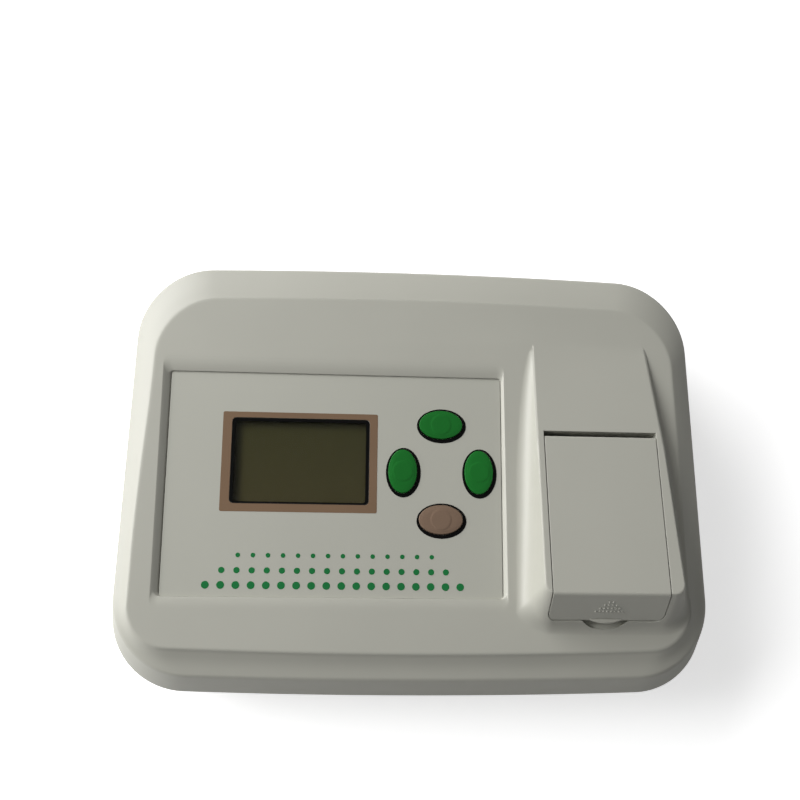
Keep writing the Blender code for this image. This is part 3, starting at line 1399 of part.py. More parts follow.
def make_power_switch():
    """Rocker switch: a hollow frame clipped in the panel and a rocker on two stubs."""
    z = FOOT_HEIGHT + ROCKER_RISE
    outer_y = REAR_PANEL_Y + REAR_PANEL_THICKNESS + GAP
    pivot = axis_empty("rocker_pivot", (ROCKER_X, outer_y - ROCKER_FACE_RISE / 2, z))
    half_x = ROCKER_WIDTH / 2 + ROCKER_CLEARANCE
    half_z = ROCKER_RADIUS + ROCKER_CLEARANCE
    front = ROCKER_FACE_RISE / 2 + SWITCH_FLANGE_THICKNESS
    back = -ROCKER_RADIUS - ROCKER_CLEARANCE - SWITCH_FRAME_WALL
    wall = SWITCH_FRAME_WALL
    body_mesh = box(
        "power_switch_frame", (-half_x - wall, back, -half_z - wall), (half_x + wall, front, half_z + wall)
    )
    frame = place("power_switch_frame", body_mesh, finish("black_plastic"), pivot)
    flange = rounded_rectangle(
        (-half_x - wall - SWITCH_FLANGE, -half_z - wall - SWITCH_FLANGE),
        (half_x + wall + SWITCH_FLANGE, half_z + wall + SWITCH_FLANGE),
        SWITCH_FLANGE,
    )
    combine(
        frame,
        place_prism("join_switch_flange", flange, "Y", ROCKER_FACE_RISE / 2, front, parent=pivot),
        "UNION",
    )
    combine(
        frame,
        place_box(
            "cut_switch", (-half_x, back + wall, -half_z), (half_x, front + OVERRUN, half_z), parent=pivot
        ),
    )
    stub_reach = ROCKER_WIDTH / 2 + ROCKER_STUB_LENGTH
    bearing = circle(ROCKER_STUB_RADIUS + GAP, SMALL_STEPS)
    combine(
        frame, place_prism("cut_bearing", bearing, "X", -stub_reach - GAP, stub_reach + GAP, parent=pivot)
    )
    rocker_mesh = prism("power_switch_rocker", rocker_outline(), "X", -ROCKER_WIDTH / 2, ROCKER_WIDTH / 2)
    rocker = place("power_switch_rocker", rocker_mesh, finish("rocker_plastic"), pivot)
    combine(
        rocker, place_prism("cut_valley", rocker_valley(), "X", -ROCKER_WIDTH, ROCKER_WIDTH, parent=pivot)
    )
    combine(
        rocker,
        place_prism(
            "join_stub", circle(ROCKER_STUB_RADIUS, SMALL_STEPS), "X", -stub_reach, stub_reach, parent=pivot
        ),
        "UNION",
    )
    for piece in (rocker, bpy.data.objects["cut_valley"], bpy.data.objects["join_stub"]):
        piece.rotation_euler = (ROCKER_TILT, 0, 0)


def rocker_valley():
    """What is cut from the rocker's outer side, so that its two faces meet in a shallow valley."""
    face = ROCKER_FACE_RISE
    far = ROCKER_RADIUS + OVERRUN
    return [
        (face - ROCKER_FACE_DIP, 0),
        (face + ROCKER_FACE_DIP, -far),
        (far, -far),
        (far, far),
        (face + ROCKER_FACE_DIP, far),
    ]


def port_outline(inset):
    half_width = PORT_SHELL_WIDTH / 2 - inset
    half_height = PORT_SHELL_HEIGHT / 2 - inset
    corners = (
        (-half_width + PORT_SLANT, -half_height),
        (half_width - PORT_SLANT, -half_height),
        (half_width, half_height),
        (-half_width, half_height),
    )
    return rounded_outline(corners, [PORT_CORNER] * len(corners), PLAN_CORNER_STEPS)


def make_serial_port():
    """Nine-way port: a drawn steel shell on its flange, with the black insert set back in it."""
    face = REAR_PANEL_Y + REAR_PANEL_THICKNESS + GAP
    centre = axis_empty("port_frame", (PORT_X, face, FOOT_HEIGHT + PORT_RISE))
    flange = rounded_rectangle(
        (-PORT_FLANGE_WIDTH / 2, -PORT_FLANGE_HEIGHT / 2), (
            PORT_FLANGE_WIDTH / 2, PORT_FLANGE_HEIGHT / 2
        ), PORT_CORNER
    )
    shell = place(
        "serial_port_shell",
        prism("serial_port_shell", flange, "Y", 0, PORT_FLANGE_THICKNESS),
        finish("steel"),
        centre,
    )
    combine(
        shell,
        place_prism(
            "join_port_collar", port_outline(0), "Y", -PORT_BACK_DEPTH / 2, PORT_SHELL_LENGTH, parent=centre
        ),
        "UNION",
    )
    combine(
        shell,
        place_prism(
            "cut_port",
            port_outline(PORT_SHELL_WALL),
            "Y",
            -PORT_BACK_DEPTH,
            PORT_SHELL_LENGTH + OVERRUN,
            parent=centre,
        ),
    )
    stop = PORT_SHELL_LENGTH - PORT_INSERT_SUNK
    insert = prism("serial_port_insert", port_outline(PORT_SHELL_WALL + GAP), "Y", -PORT_BACK_DEPTH, stop)
    place("serial_port_insert", insert, finish("black_plastic"), centre)


def make_chamber():
    """Chamber liner with a seal groove in its rim and beam ports, and the cell holder in it."""
    well = axis_empty("well_frame", (WELL_X, WELL_Y, RIM_TOP))
    half_rim = (RIM_WIDTH / 2, RIM_LENGTH / 2)
    half_well = (WELL_WIDTH / 2, WELL_LENGTH / 2)
    half_wall = (half_well[0] + WELL_WALL, half_well[1] + WELL_WALL)

    def rectangle(half, radius=WELL_CORNER):
        return rounded_rectangle((-half[0], -half[1]), (half[0], half[1]), radius)

    rings = [
        [(x, y, z) for x, y in rectangle(half)]
        for half, z in (
            (half_rim, 0), (half_rim, -RIM_HEIGHT), (half_wall, -RIM_HEIGHT), (
                half_wall, -WELL_DEPTH - WELL_WALL
            )
        )
    ]
    liner = place("chamber_liner", loft("chamber_liner", rings), finish("chamber_black"), well)
    combine(liner, place_prism("cut_well", rectangle(half_well), "Z", -WELL_DEPTH, OVERRUN, parent=well))
    margin = (half_rim[0] - half_well[0] - SEAL_WIDTH) / 2
    seal_inner = (half_well[0] + margin, half_well[1] + margin)
    seal_outer = (seal_inner[0] + SEAL_WIDTH, seal_inner[1] + SEAL_WIDTH)
    groove = ring_prism(
        "cut_groove",
        rectangle((seal_outer[0] + GROOVE_CLEARANCE, seal_outer[1] + GROOVE_CLEARANCE)),
        rectangle((seal_inner[0] - GROOVE_CLEARANCE, seal_inner[1] - GROOVE_CLEARANCE)),
        -GROOVE_DEPTH,
        OVERRUN,
    )
    combine(liner, place("cut_groove", groove, parent=well))
    beam = circle(BEAM_RADIUS, PIN_STEPS, (0, BEAM_Z - RIM_TOP))
    combine(liner, place_prism("cut_beam", beam, "Y", -WELL_LENGTH, WELL_LENGTH, parent=well))
    make_cell_holder(well)
    return seal_outer, seal_inner


def make_cell_holder(well):
    half = (WELL_WIDTH / 2 - HOLDER_CLEARANCE, WELL_LENGTH / 2 - HOLDER_CLEARANCE)
    bottom = -WELL_DEPTH + HOLDER_CLEARANCE
    top = bottom + HOLDER_HEIGHT
    outline = rounded_rectangle((-half[0], -half[1]), (half[0], half[1]), WELL_CORNER)
    mesh = prism("cell_holder", outline, "Z", bottom, top)
    holder = place("cell_holder", mesh, finish("holder_black"), well)
    slot = box(
        "cut_cell",
        (-CELL_WIDTH / 2, -CELL_LENGTH / 2, bottom + CELL_FLOOR),
        (CELL_WIDTH / 2, CELL_LENGTH / 2, top + OVERRUN),
    )
    combine(holder, place("cut_cell", slot, parent=well))
    combine(
        holder,
        place_prism(
            "cut_holder_beam",
            circle(BEAM_RADIUS, PIN_STEPS, (0, BEAM_Z - RIM_TOP)),
            "Y",
            -WELL_LENGTH,
            WELL_LENGTH,
            parent=well,
        ),
    )


def ring_prism(name, outer, inner, start, stop):
    """A closed band between two outlines of equally many points."""
    rings = [
        [(x, y, start) for x, y in inner],
        [(x, y, start) for x, y in outer],
        [(x, y, stop) for x, y in outer],
        [(x, y, stop) for x, y in inner],
    ]
    bm = bmesh.new()
    made = [[bm.verts.new(point) for point in ring] for ring in rings]
    for first, second in zip(made, made[1:] + made[:1]):
        for index, vertex in enumerate(first):
            after = (index + 1) % len(first)
            bm.faces.new((vertex, first[after], second[after], second[index]))
    return finish_mesh(name, bm)


def make_light_seal(hinge, seal_outer, seal_inner):
    """Rubber band under the lid that reaches into the liner's groove."""
    def outline(half):
        return rounded_rectangle((-half[0], -half[1]), (half[0], half[1]), WELL_CORNER)

    top = TURRET_TOP - LID_SLAB - GAP - HINGE_Z
    mesh = ring_prism("light_seal", outline(seal_outer), outline(seal_inner), top - SEAL_HEIGHT, top)
    place("light_seal", mesh, finish("rubber"), hinge, (WELL_X, WELL_Y - HINGE_Y, 0))


def make_optics():
    """Lamp, filter and lens in one bored block behind the well, the detector in front of it."""
    back_face = WELL_Y + WELL_LENGTH / 2 + WELL_WALL + GAP
    bench = axis_empty("beam_axis", (WELL_X, back_face, BEAM_Z))
    half = LAMP_HOUSING_SIZE / 2
    block = box("lamp_housing", (-half, 0, -half), (half, LAMP_HOUSING_LENGTH, half))
    housing = place("lamp_housing", block, finish("black_plastic"), bench)
    combine(
        housing,
        place_prism(
            "cut_lamp_bore",
            circle(OPTIC_RADIUS + GAP, FINE_STEPS),
            "Y",
            -OVERRUN,
            LAMP_HOUSING_LENGTH + OVERRUN,
            parent=bench,
        ),
    )
    soften(housing, LAMP_HOUSING_SIZE * CHAMFER_SHARE / 4)
    lens_start = OPTIC_SPACING
    edge = LENS_THICKNESS / 4
    lens_profile = (
        (OPTIC_RADIUS / 3, lens_start),
        (OPTIC_RADIUS * 2 / 3, lens_start + edge / 2),
        (OPTIC_RADIUS, lens_start + edge),
        (OPTIC_RADIUS, lens_start + LENS_THICKNESS),
    )
    place("condenser_lens", lathe("condenser_lens", lens_profile, "Y", FINE_STEPS), finish("glass"), bench)
    filter_start = lens_start + LENS_THICKNESS + OPTIC_SPACING
    filter_mesh = prism(
        "colour_filter",
        circle(OPTIC_RADIUS, FINE_STEPS),
        "Y",
        filter_start,
        filter_start + FILTER_THICKNESS,
    )
    place("colour_filter", filter_mesh, finish("blue_glass"), bench)
    lamp_start = filter_start + FILTER_THICKNESS + OPTIC_SPACING
    lamp_profile = (
        (OPTIC_RADIUS / 4, lamp_start),
        (OPTIC_RADIUS / 2, lamp_start + edge),
        (OPTIC_RADIUS * 2 / 3, lamp_start + LENS_THICKNESS),
        (OPTIC_RADIUS, lamp_start + LENS_THICKNESS),
        (OPTIC_RADIUS, lamp_start + LAMP_LENGTH),
    )
    place("lamp", lathe("lamp", lamp_profile, "Y", FINE_STEPS), finish("lamp_glass"), bench)
    front_face = WELL_Y - WELL_LENGTH / 2 - WELL_WALL - GAP
    detector = axis_empty("detector_frame", (WELL_X, front_face, BEAM_Z))
    diode_profile = (
        (DIODE_RADIUS - DIODE_FLANGE, 0),
        (DIODE_RADIUS - DIODE_FLANGE, -DIODE_LENGTH + DIODE_FLANGE),
        (DIODE_RADIUS, -DIODE_LENGTH + DIODE_FLANGE),
        (DIODE_RADIUS, -DIODE_LENGTH),
    )
    place("photodiode", lathe("photodiode", diode_profile, "Y", FINE_STEPS), finish("steel"), detector)
    near = -DIODE_LENGTH - GAP
    low = (-DETECTOR_WIDTH / 2, near - BOARD_THICKNESS, -DETECTOR_HEIGHT / 2)
    high = (DETECTOR_WIDTH / 2, near, DETECTOR_HEIGHT / 2)
    place("detector_board", box("detector_board", low, high), finish("circuit_board"), detector)


def make_main_board():
    """Circuit board on the tray's posts with its larger components."""
    floor = FOOT_HEIGHT + GAP + TRAY_FLOOR
    board_z = floor + BOARD_RISE
    frame = axis_empty("board_frame", (BOARD_X, BOARD_Y, board_z))
    board = place(
        "main_board",
        centred_box("main_board", (BOARD_WIDTH, BOARD_LENGTH, BOARD_THICKNESS)),
        finish("circuit_board"),
        frame,
    )
    for index, (x, y) in enumerate(board_posts()):
        combine(
            board,
            place_prism(
                f"cut_board_{index}",
                circle(POST_RADIUS / 2, SMALL_STEPS, (x - BOARD_X, y - BOARD_Y)),
                "Z",
                -OVERRUN,
                BOARD_THICKNESS + OVERRUN,
                parent=frame,
            ),
        )
    top = BOARD_THICKNESS + GAP

    def on_board(name, mesh, made_of):
        x_share, y_share = BOARD_PART_SHARES[name]
        spot = (x_share * BOARD_WIDTH / 2, y_share * BOARD_LENGTH / 2, top)
        return place(name, mesh, made_of, frame, spot)

    chip = on_board(
        "processor_chip",
        centred_box("processor_chip", (CHIP_SIZE, CHIP_SIZE, CHIP_HEIGHT)),
        finish("black_plastic"),
    )
    soften(chip, CHIP_HEIGHT * CHAMFER_SHARE)
    memory_size = (MEMORY_WIDTH, MEMORY_LENGTH, CHIP_HEIGHT)
    memory = on_board("memory_chip", centred_box("memory_chip", memory_size), finish("black_plastic"))
    soften(memory, CHIP_HEIGHT * CHAMFER_SHARE)
    sleeve = finish("capacitor_sleeve")
    for name, radius, height in (
        ("filter_capacitor", BIG_CAPACITOR_RADIUS, BIG_CAPACITOR_HEIGHT),
        ("output_capacitor", SMALL_CAPACITOR_RADIUS, SMALL_CAPACITOR_HEIGHT),
    ):
        groove = radius * CHAMFER_SHARE
        profile = (
            (radius, 0),
            (radius, groove),
            (radius - groove / 2, groove * 1.5),
            (radius, groove * 2),
            (radius, height - groove / 2),
            (radius - groove / 2, height),
        )
        on_board(name, lathe(name, profile, steps=FINE_STEPS), sleeve)
    make_heatsink(on_board)
    half_length = CONNECTOR_LENGTH / 2
    half_width = CONNECTOR_WIDTH / 2
    connector = on_board(
        "ribbon_connector",
        box(
            "ribbon_connector", (-half_length, -half_width, 0), (half_length, half_width, CONNECTOR_HEIGHT)
        ),
        finish("connector_plastic"),
    )
    cut_low = (
        -half_length + CONNECTOR_WALL, -half_width + CONNECTOR_WALL, CONNECTOR_HEIGHT - CONNECTOR_DEPTH
    )
    cut_high = (half_length - CONNECTOR_WALL, half_width - CONNECTOR_WALL, CONNECTOR_HEIGHT + OVERRUN)
    cutter = place_box("cut_connector", cut_low, cut_high, parent=frame, location=connector.location)
    combine(connector, cutter)


def make_heatsink(on_board):
    """Extruded comb: a web with fins, standing on the board."""
    pitch = HEATSINK_WIDTH / HEATSINK_FINS
    fin = pitch / 2
    points = [(-HEATSINK_WIDTH / 2, 0)]
    for index in range(HEATSINK_FINS):
        left = -HEATSINK_WIDTH / 2 + index * pitch
        points.extend([(left, HEATSINK_DEPTH), (left + fin, HEATSINK_DEPTH)])
        if index < HEATSINK_FINS - 1:
            points.extend([(left + fin, HEATSINK_WEB), (left + pitch, HEATSINK_WEB)])
    points.append((-HEATSINK_WIDTH / 2 + HEATSINK_WIDTH - fin, 0))
    mesh = prism("regulator_heatsink", points, "Z", 0, HEATSINK_HEIGHT)
    on_board("regulator_heatsink", mesh, finish("black_aluminium"))


def make_transformer():
    """Laminated core with two windows and a winding round its middle leg."""
    floor = FOOT_HEIGHT + GAP + TRAY_FLOOR + GAP
    frame = axis_empty("transformer_frame", (CORE_X, CORE_Y, floor))
    half_width = CORE_WIDTH / 2
    half_stack = CORE_STACK / 2
    core_mesh = box(
        "transformer_core", (-half_width, -half_stack, 0), (half_width, half_stack, CORE_HEIGHT)
    )
    core = place("transformer_core", core_mesh, finish("lamination"), frame)
    window_high = CORE_HEIGHT - CORE_LEG
    for name, side in (("left", -1), ("right", 1)):
        near = side * CORE_LEG
        far = side * (half_width - CORE_LEG)
        low = (min(near, far), -half_stack - OVERRUN, CORE_LEG)
        high = (max(near, far), half_stack + OVERRUN, window_high)
        combine(core, place_box(f"cut_core_{name}", low, high, parent=frame))
    inner_x = CORE_LEG + GAP
    inner_y = half_stack + GAP
    wrap = WINDING_WRAP - 2 * GAP
    outer = rounded_rectangle(
        (-inner_x - wrap, -inner_y - wrap), (inner_x + wrap, inner_y + wrap), WINDING_CORNER
    )
    inner = rounded_rectangle((-inner_x, -inner_y), (inner_x, inner_y), GAP)
    mesh = ring_prism("transformer_winding", outer, inner, CORE_LEG + GAP, window_high - GAP)
    place("transformer_winding", mesh, finish("winding_tape"), frame)


def build():
    clear_scene()
    panel = axis_empty("panel_frame", PANEL_ORIGIN, (PLATEAU_SLOPE, 0, 0))
    hinge = axis_empty("lid_hinge", (0, HINGE_Y, HINGE_Z))
    make_cover(panel)
    make_tray()
    make_feet_and_screws()
    make_faceplate(panel)
    make_display(panel)
    make_keys(panel)
    make_keypad(panel)
    make_lid(hinge)
    make_hinge_pins(hinge)
    seal_outer, seal_inner = make_chamber()
    make_light_seal(hinge, seal_outer, seal_inner)
    make_optics()
    make_rear_panel()
    make_inlet()
    make_power_switch()
    make_serial_port()
    make_main_board()
    make_transformer()


build()
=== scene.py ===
"""Looks for the desktop colorimeter: finely filleted case, tray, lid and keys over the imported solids."""

import json
import math

import bmesh
import bpy
from mathutils import Matrix, Vector


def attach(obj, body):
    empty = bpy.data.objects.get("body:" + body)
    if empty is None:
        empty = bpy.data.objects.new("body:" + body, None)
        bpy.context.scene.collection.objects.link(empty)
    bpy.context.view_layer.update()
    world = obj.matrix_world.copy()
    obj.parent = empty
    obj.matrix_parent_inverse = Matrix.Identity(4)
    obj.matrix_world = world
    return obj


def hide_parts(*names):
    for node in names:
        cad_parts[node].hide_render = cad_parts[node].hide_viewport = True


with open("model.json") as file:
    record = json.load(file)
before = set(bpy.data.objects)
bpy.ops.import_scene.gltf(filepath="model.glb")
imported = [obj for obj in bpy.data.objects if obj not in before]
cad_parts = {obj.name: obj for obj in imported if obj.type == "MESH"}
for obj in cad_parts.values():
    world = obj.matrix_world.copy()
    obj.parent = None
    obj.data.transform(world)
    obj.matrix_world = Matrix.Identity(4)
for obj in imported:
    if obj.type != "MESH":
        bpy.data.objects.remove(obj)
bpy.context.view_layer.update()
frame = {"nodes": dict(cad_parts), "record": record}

# Case sizes in metres, as in the solids
HALF_WIDTH = 0.144
HALF_DEPTH = 0.108
WALL = 0.0025
GAP = 0.0003
OVERRUN = 0.002
RIM_Z = 0.030
FRONT_EDGE_RISE = 0.0212
PLATEAU_SLOPE = math.radians(8.3)
SLOPE = math.tan(PLATEAU_SLOPE)
SHOULDER_DROP = 0.0058
SHOULDER_FRONT = 0.0117
SHOULDER_BACK = 0.0172
SHOULDER_SIDE = 0.0092
STEP_RUN = 0.0009
SIDE_DRAFT_SHARE = 0.18
END_DRAFT_SHARE = 0.35
RIM_CORNER = 0.036
EDGE_CORNER_FRONT = 0.020
EDGE_CORNER_BACK = 0.030
END_BOW = 0.003
REAR_HALF_WIDTH = 0.090
BACK_REACH = HALF_DEPTH + END_BOW * (REAR_HALF_WIDTH / HALF_WIDTH) ** 2
REAR_PANEL_Y = 0.0895
REAR_TOP_Z = RIM_Z + 0.028

# How the case's shoulder sags, narrows and is rounded, in the skin only
FRONT_SHOULDER_DROP = 0.0049
LEFT_SHOULDER_GAIN = 0.0028
FRONT_SAG = 0.0010
BACK_SAG = -0.0003
FRONT_STEP_DROP = 0.0012
BACK_STEP_DROP = 0.0003
SAG_PLACE_SHARE = 0.42
SAG_RATE = 1.6
STEP_RATE = 2.0
TURN_LIMIT = 0.48
RIM_TURN = 0.0005
SKIRT_TURN = 0.0016
SAG_TURN = 0.0040
STEP_TURN = 0.0012
WIDEN_BACK_Y = 0.045
WIDEN_RUN_Y = 0.090
WIDEN_INNER_X = 0.080
WIDEN_RUN_X = 0.040

# Turret and lid
TURRET_TOP = RIM_Z + 0.043
TURRET_LEFT = 0.057
TURRET_RIGHT_FRONT = 0.1230
TURRET_RIGHT_MIDDLE = 0.1196
TURRET_RIGHT_BACK = 0.1136
TURRET_MIDDLE_Y = 0.002
TURRET_FRONT = -0.0661
TURRET_BACK = 0.0625
TURRET_TOP_CORNER = 0.005
TURRET_FOOT_CORNER = 0.013
TURRET_BACK_CORNER = 0.003
TURRET_DROP = 0.022
FLANK_LEAN_SHARE = 0.27
FRONT_LEAN_SHARE = 0.65
FLARE_RADIUS = 0.0105
FLARE_STEPS = 9
FLARE_EDGE = 0.00035
FLARE_FULL_HEIGHT = 0.009
FLARE_GROWTH = 0.35
FLARE_LEAST_SHARE = 0.01
FLARE_EDGE_SHARE = 0.3
FLARE_SUNK = 0.00015
FLARE_FOOT_REACH = 0.0012
FALL_LEAST_SHARE = 0.017
FALL_STEP_SHARE = 0.001
TURRET_EDGE_LEVELS = ((0.0010, 0.0), (0.00055, 0.00010), (0.00017, 0.00034))
RIGHT_FLARE_SHARE = 0.4
FRONT_FLARE_SHARE = 0.36
FLARE_TURN_SHARE = 0.75
FRONT_PIECES = 4
TURRET_STEPS = (FRONT_PIECES, 16, 16, 2, 40)
CAVITY_FOOT = 0.018
LID_LEFT = 0.0608
LID_RIGHT = 0.1154
LID_FRONT = -0.0660
LID_BACK = 0.0096
LID_SLAB = 0.0035
LID_APRON = 0.0030
LID_FACE_HEIGHT = 0.0153
LID_CORNER = 0.004
LID_EDGE_RADII = (0.0008, 0.0020, 0.0005, 0.0003, 0.0006, 0.0003)
LID_DOT_ROWS = (8, 6, 4, 2)
LID_DOT_PITCH = 0.00182
LID_DOT_ROW_PITCH = 0.00175
LID_DOT_DROP = 0.0096
LID_DOT_ASIDE = 0.0005
LID_DOT_RADIUS = 0.00055
LID_DOT_RISE = 0.00040
LID_GAP = 0.0004
LID_BACK_SLOT = 0.0024
HINGE_Y = 0.0055
HINGE_Z = TURRET_TOP - 0.0044
HINGE_BARREL_RADIUS = 0.0032
HINGE_BARREL_END_GAP = 0.0006
HINGE_TROUGH_FRONT = 0.0065
HINGE_TROUGH_DEPTH = 0.0095
HINGE_PIN_RADIUS = 0.0015
HINGE_PIN_IN_LID = 0.0062
HINGE_PIN_IN_COVER = 0.0022
NOTCH_WIDTH = 0.0226
NOTCH_REACH = 0.0038
NOTCH_SCOOP = 0.0040
NOTCH_UNDERCUT = 0.0005
NOTCH_LEVELS = ((0.0010, 0.0), (0.0005, 0.0003), (0.0001, 0.0010))
TAB_WIDTH = 0.0186
TAB_REACH = 0.0012
TAB_THICKNESS = 0.0012
TAB_LEVELS = ((0.0003, 0.0), (0.0001, 0.0001), (0.0, 0.0004), (0.0001, 0.0009), (0.0004, TAB_THICKNESS))
DECK_Z = TURRET_TOP - LID_SLAB - LID_GAP
LEDGE_Z = TURRET_TOP - LID_FACE_HEIGHT - LID_GAP
APRON_RUN = LID_APRON * math.sqrt(1 + FRONT_LEAN_SHARE**2)
WELL_X = 0.0881
WELL_Y = -0.0315
RIM_WIDTH = 0.0435
RIM_LENGTH = 0.0550
WELL_CORNER = 0.002

# Panel, in its own frame: u to the right, v up the slope, w outwards
PANEL_LEFT = -0.1191
PANEL_WIDTH = 0.1600
PANEL_HEIGHT = 0.1067
PANEL_FROM_EDGE = 0.0253
PANEL_SUNK = 0.0018
PLATE_THICKNESS = 0.0010
SEAT_MARGIN = 0.00035
SEAT_CORNER = 0.002
SEAT_SLOPES = ((-0.0034, -0.0050), (0.0020, -0.0050), (0.0012, 0.0072), (-0.0036, 0.0072))
SEAT_SIDE_BEND = 1.15
SEAT_END_BEND = 2.0
SEAT_FRONT_START = 0.70
SEAT_BACK_START = 0.32
SEAT_END_MARGIN = 0.00006
SEAT_STEPS = 16
SEAT_GATHER = 1.8
SEAT_CORNER_GAIN = 0.0015
SEAT_FOOT_SUNK = 0.0002
SEAT_SKIM = 0.00001
SEAT_PAST_SHARE = 1.03
DISPLAY_LEFT = 0.0299
DISPLAY_BOTTOM = 0.0433
DISPLAY_WIDTH = 0.0662
DISPLAY_HEIGHT = 0.0414
DISPLAY_CORNER = 0.002
BEZEL_FRAME = 0.0030
WINDOW_SUNK = 0.0003
KEY_LONG = 0.0210
KEY_SHORT = 0.0138
KEY_CLEARANCE = 0.00035
KEY_PROUD = 0.0009
KEY_FLANGE = 0.0012
KEY_FLANGE_THICKNESS = 0.0016
KEY_STEM_RADIUS = 0.0020
KEY_STEM_LENGTH = 0.0014
KEY_CROSS_U = 0.1306
KEY_CROSS_V = 0.0599
KEY_SPREAD_U = 0.01845
KEY_SPREAD_V = 0.0230
KEY_EDGE = 0.0003
KEY_CROWN_INSET = 0.0011
KEY_CROWN_RISE = 0.00010
BOSS_RADIUS = 0.0052
BOSS_FOOT_LEVELS = ((0.35, 0.00020), (0.7, 0.00024), (1.0, 0.00024))
BOSS_LEVELS = ((0.0050, 0.00029), (0.0047, 0.00037), (0.0040, 0.00040), (0.0020, 0.00040), (0.0002, 0.00040))
PRINT_THICKNESS = 0.00006
PRINT_DOT_ROWS = ((18, 0.0208, 0.0054, 0.00180), (16, 0.0280, 0.0122, 0.00145), (14, 0.0353, 0.0192, 0.00108))
PRINT_DOT_PITCH = 0.0070
PRINT_FRAME_LOW = (0.0256, 0.0395)
PRINT_FRAME_HIGH = (0.0999, 0.0874)
PRINT_FRAME_CORNER = 0.0008
# Black rim inside the window: partly a printed border, partly painted shadow where the window's edge shades
# the sunk display, so it is wider at the left, right and top than at the bottom.
WINDOW_RIM_AND_SHADOW_LOW = (DISPLAY_LEFT + 0.0016, DISPLAY_BOTTOM + 0.0010)
WINDOW_RIM_AND_SHADOW_HIGH = (DISPLAY_LEFT + DISPLAY_WIDTH - 0.0018, DISPLAY_BOTTOM + DISPLAY_HEIGHT - 0.0017)
WINDOW_RIM_CORNER = 0.0012
WINDOW_RIM_GAP = 0.00005
SHADOW_GROW = 0.0015
SHADOW_ASIDE = 0.00035
SHADOW_DOWN = 0.00060

# Base tray
FOOT_HEIGHT = 0.004
TRAY_BOTTOM = FOOT_HEIGHT + GAP
TRAY_INSET = 0.0012
TRAY_WALL = 0.0030
TRAY_FLOOR = 0.0025
TRAY_TAPER = 0.0050
TRAY_EDGE = 0.0030
LIP_HEIGHT = 0.0020
LIP_WALL = 0.0012
TRAY_RIM_TURN = 0.0004
TRAY_EDGE_TURN = 0.0020
REAR_PANEL_THICKNESS = 0.0015
REAR_SILL = 0.0065
SCREW_PLACES = ((-0.1275, -0.066), (0.1275, -0.066), (-0.1205, 0.062), (0.1205, 0.062))
SCREW_SEAT = 0.0084 + GAP
SCREW_HEAD_BORE = 0.0034
SCREW_BORE = 0.0016
TRAY_BOSS_RADIUS = 0.0052
POST_PLACES = ((-0.102, -0.065), (0.006, -0.065), (-0.102, 0.009), (0.006, 0.009))
POST_RADIUS = 0.0030
POST_HEIGHT = 0.0097
VENT_X = -0.095
VENT_Y = 0.040
VENT_COUNT = 7
VENT_PITCH = 0.0065
VENT_LENGTH = 0.026
VENT_WIDTH = 0.0022
VENT_CORNER_SHARE = 0.45

# Studio
WORLD_STRENGTH = 0.12
FLOOR_LIFT = 0.60
FLOOR_HALF = 3.0
LAMP_AIM = (0.0, 0.0, 0.05)
WINDOW_LAMP = ((-1.25, 0.72, 1.02), (2.2, 1.0), 49.5)
SIDE_LAMP = ((-1.25, -0.09, 0.40), (0.7, 0.7), 5.6)
CAMERA_PLACE = (-0.0408, -0.1328, 0.5009)
CAMERA_TURNS = ((-0.1977, "Z"), (0.3619, "X"), (0.2089, "Z"))
CAMERA_SENSOR = 36.0
CAMERA_LENS = 42.72
CAMERA_CLIP = 0.01

# Fineness
CORNER_STEPS = 18
PLAN_CORNER_STEPS = 8
END_STEPS = 30
SIDE_STEPS = 18
KEY_STEPS = 72
KEY_EDGE_STEPS = 4
PRINT_DOT_STEPS = 28
VENT_CORNER_STEPS = 6
BARREL_STEPS = 48
HOLE_STEPS = 32
POST_STEPS = 24
BORE_STEPS = 20

SHOULDER_FRONT_Y = -HALF_DEPTH + END_DRAFT_SHARE * (FRONT_EDGE_RISE - SHOULDER_DROP)
PLATEAU_FRONT_Y = SHOULDER_FRONT_Y + SHOULDER_FRONT


def plateau_z(y):
    """Height of the plateau's plane at a distance y."""
    return RIM_Z + FRONT_EDGE_RISE + (y - PLATEAU_FRONT_Y) * SLOPE


def back_shoulder_y():
    """The skirt's top edge at the back, where the drafted back wall meets the shoulder."""
    drop_at_centre = plateau_z(-SHOULDER_BACK) - RIM_Z - SHOULDER_DROP
    return (BACK_REACH - END_DRAFT_SHARE * drop_at_centre) / (1 + END_DRAFT_SHARE * SLOPE)


SHOULDER_BACK_Y = back_shoulder_y()
PLATEAU_BACK_Y = SHOULDER_BACK_Y - SHOULDER_BACK
PANEL_FRAME = Matrix.Translation(
    (
        PANEL_LEFT,
        PLATEAU_FRONT_Y + PANEL_FROM_EDGE * math.cos(PLATEAU_SLOPE) + PANEL_SUNK * math.sin(PLATEAU_SLOPE),
        RIM_Z + FRONT_EDGE_RISE + PANEL_FROM_EDGE * math.sin(PLATEAU_SLOPE)
        - PANEL_SUNK * math.cos(PLATEAU_SLOPE),
    )
) @ Matrix.Rotation(PLATEAU_SLOPE, 4, "X")
DISPLAY_X = PANEL_FRAME.translation.x + DISPLAY_LEFT
DISPLAY_Y = PANEL_FRAME.translation.y + DISPLAY_BOTTOM * math.cos(PLATEAU_SLOPE)


# Mesh code

def clamp(share):
    return min(max(share, 0.0), 1.0)


def eased(share):
    return share * share * (3 - 2 * share)


def finish_mesh(name, bm):
    bmesh.ops.recalc_face_normals(bm, faces=bm.faces)
    mesh = bpy.data.meshes.new(name)
    bm.to_mesh(mesh)
    bm.free()
    return mesh


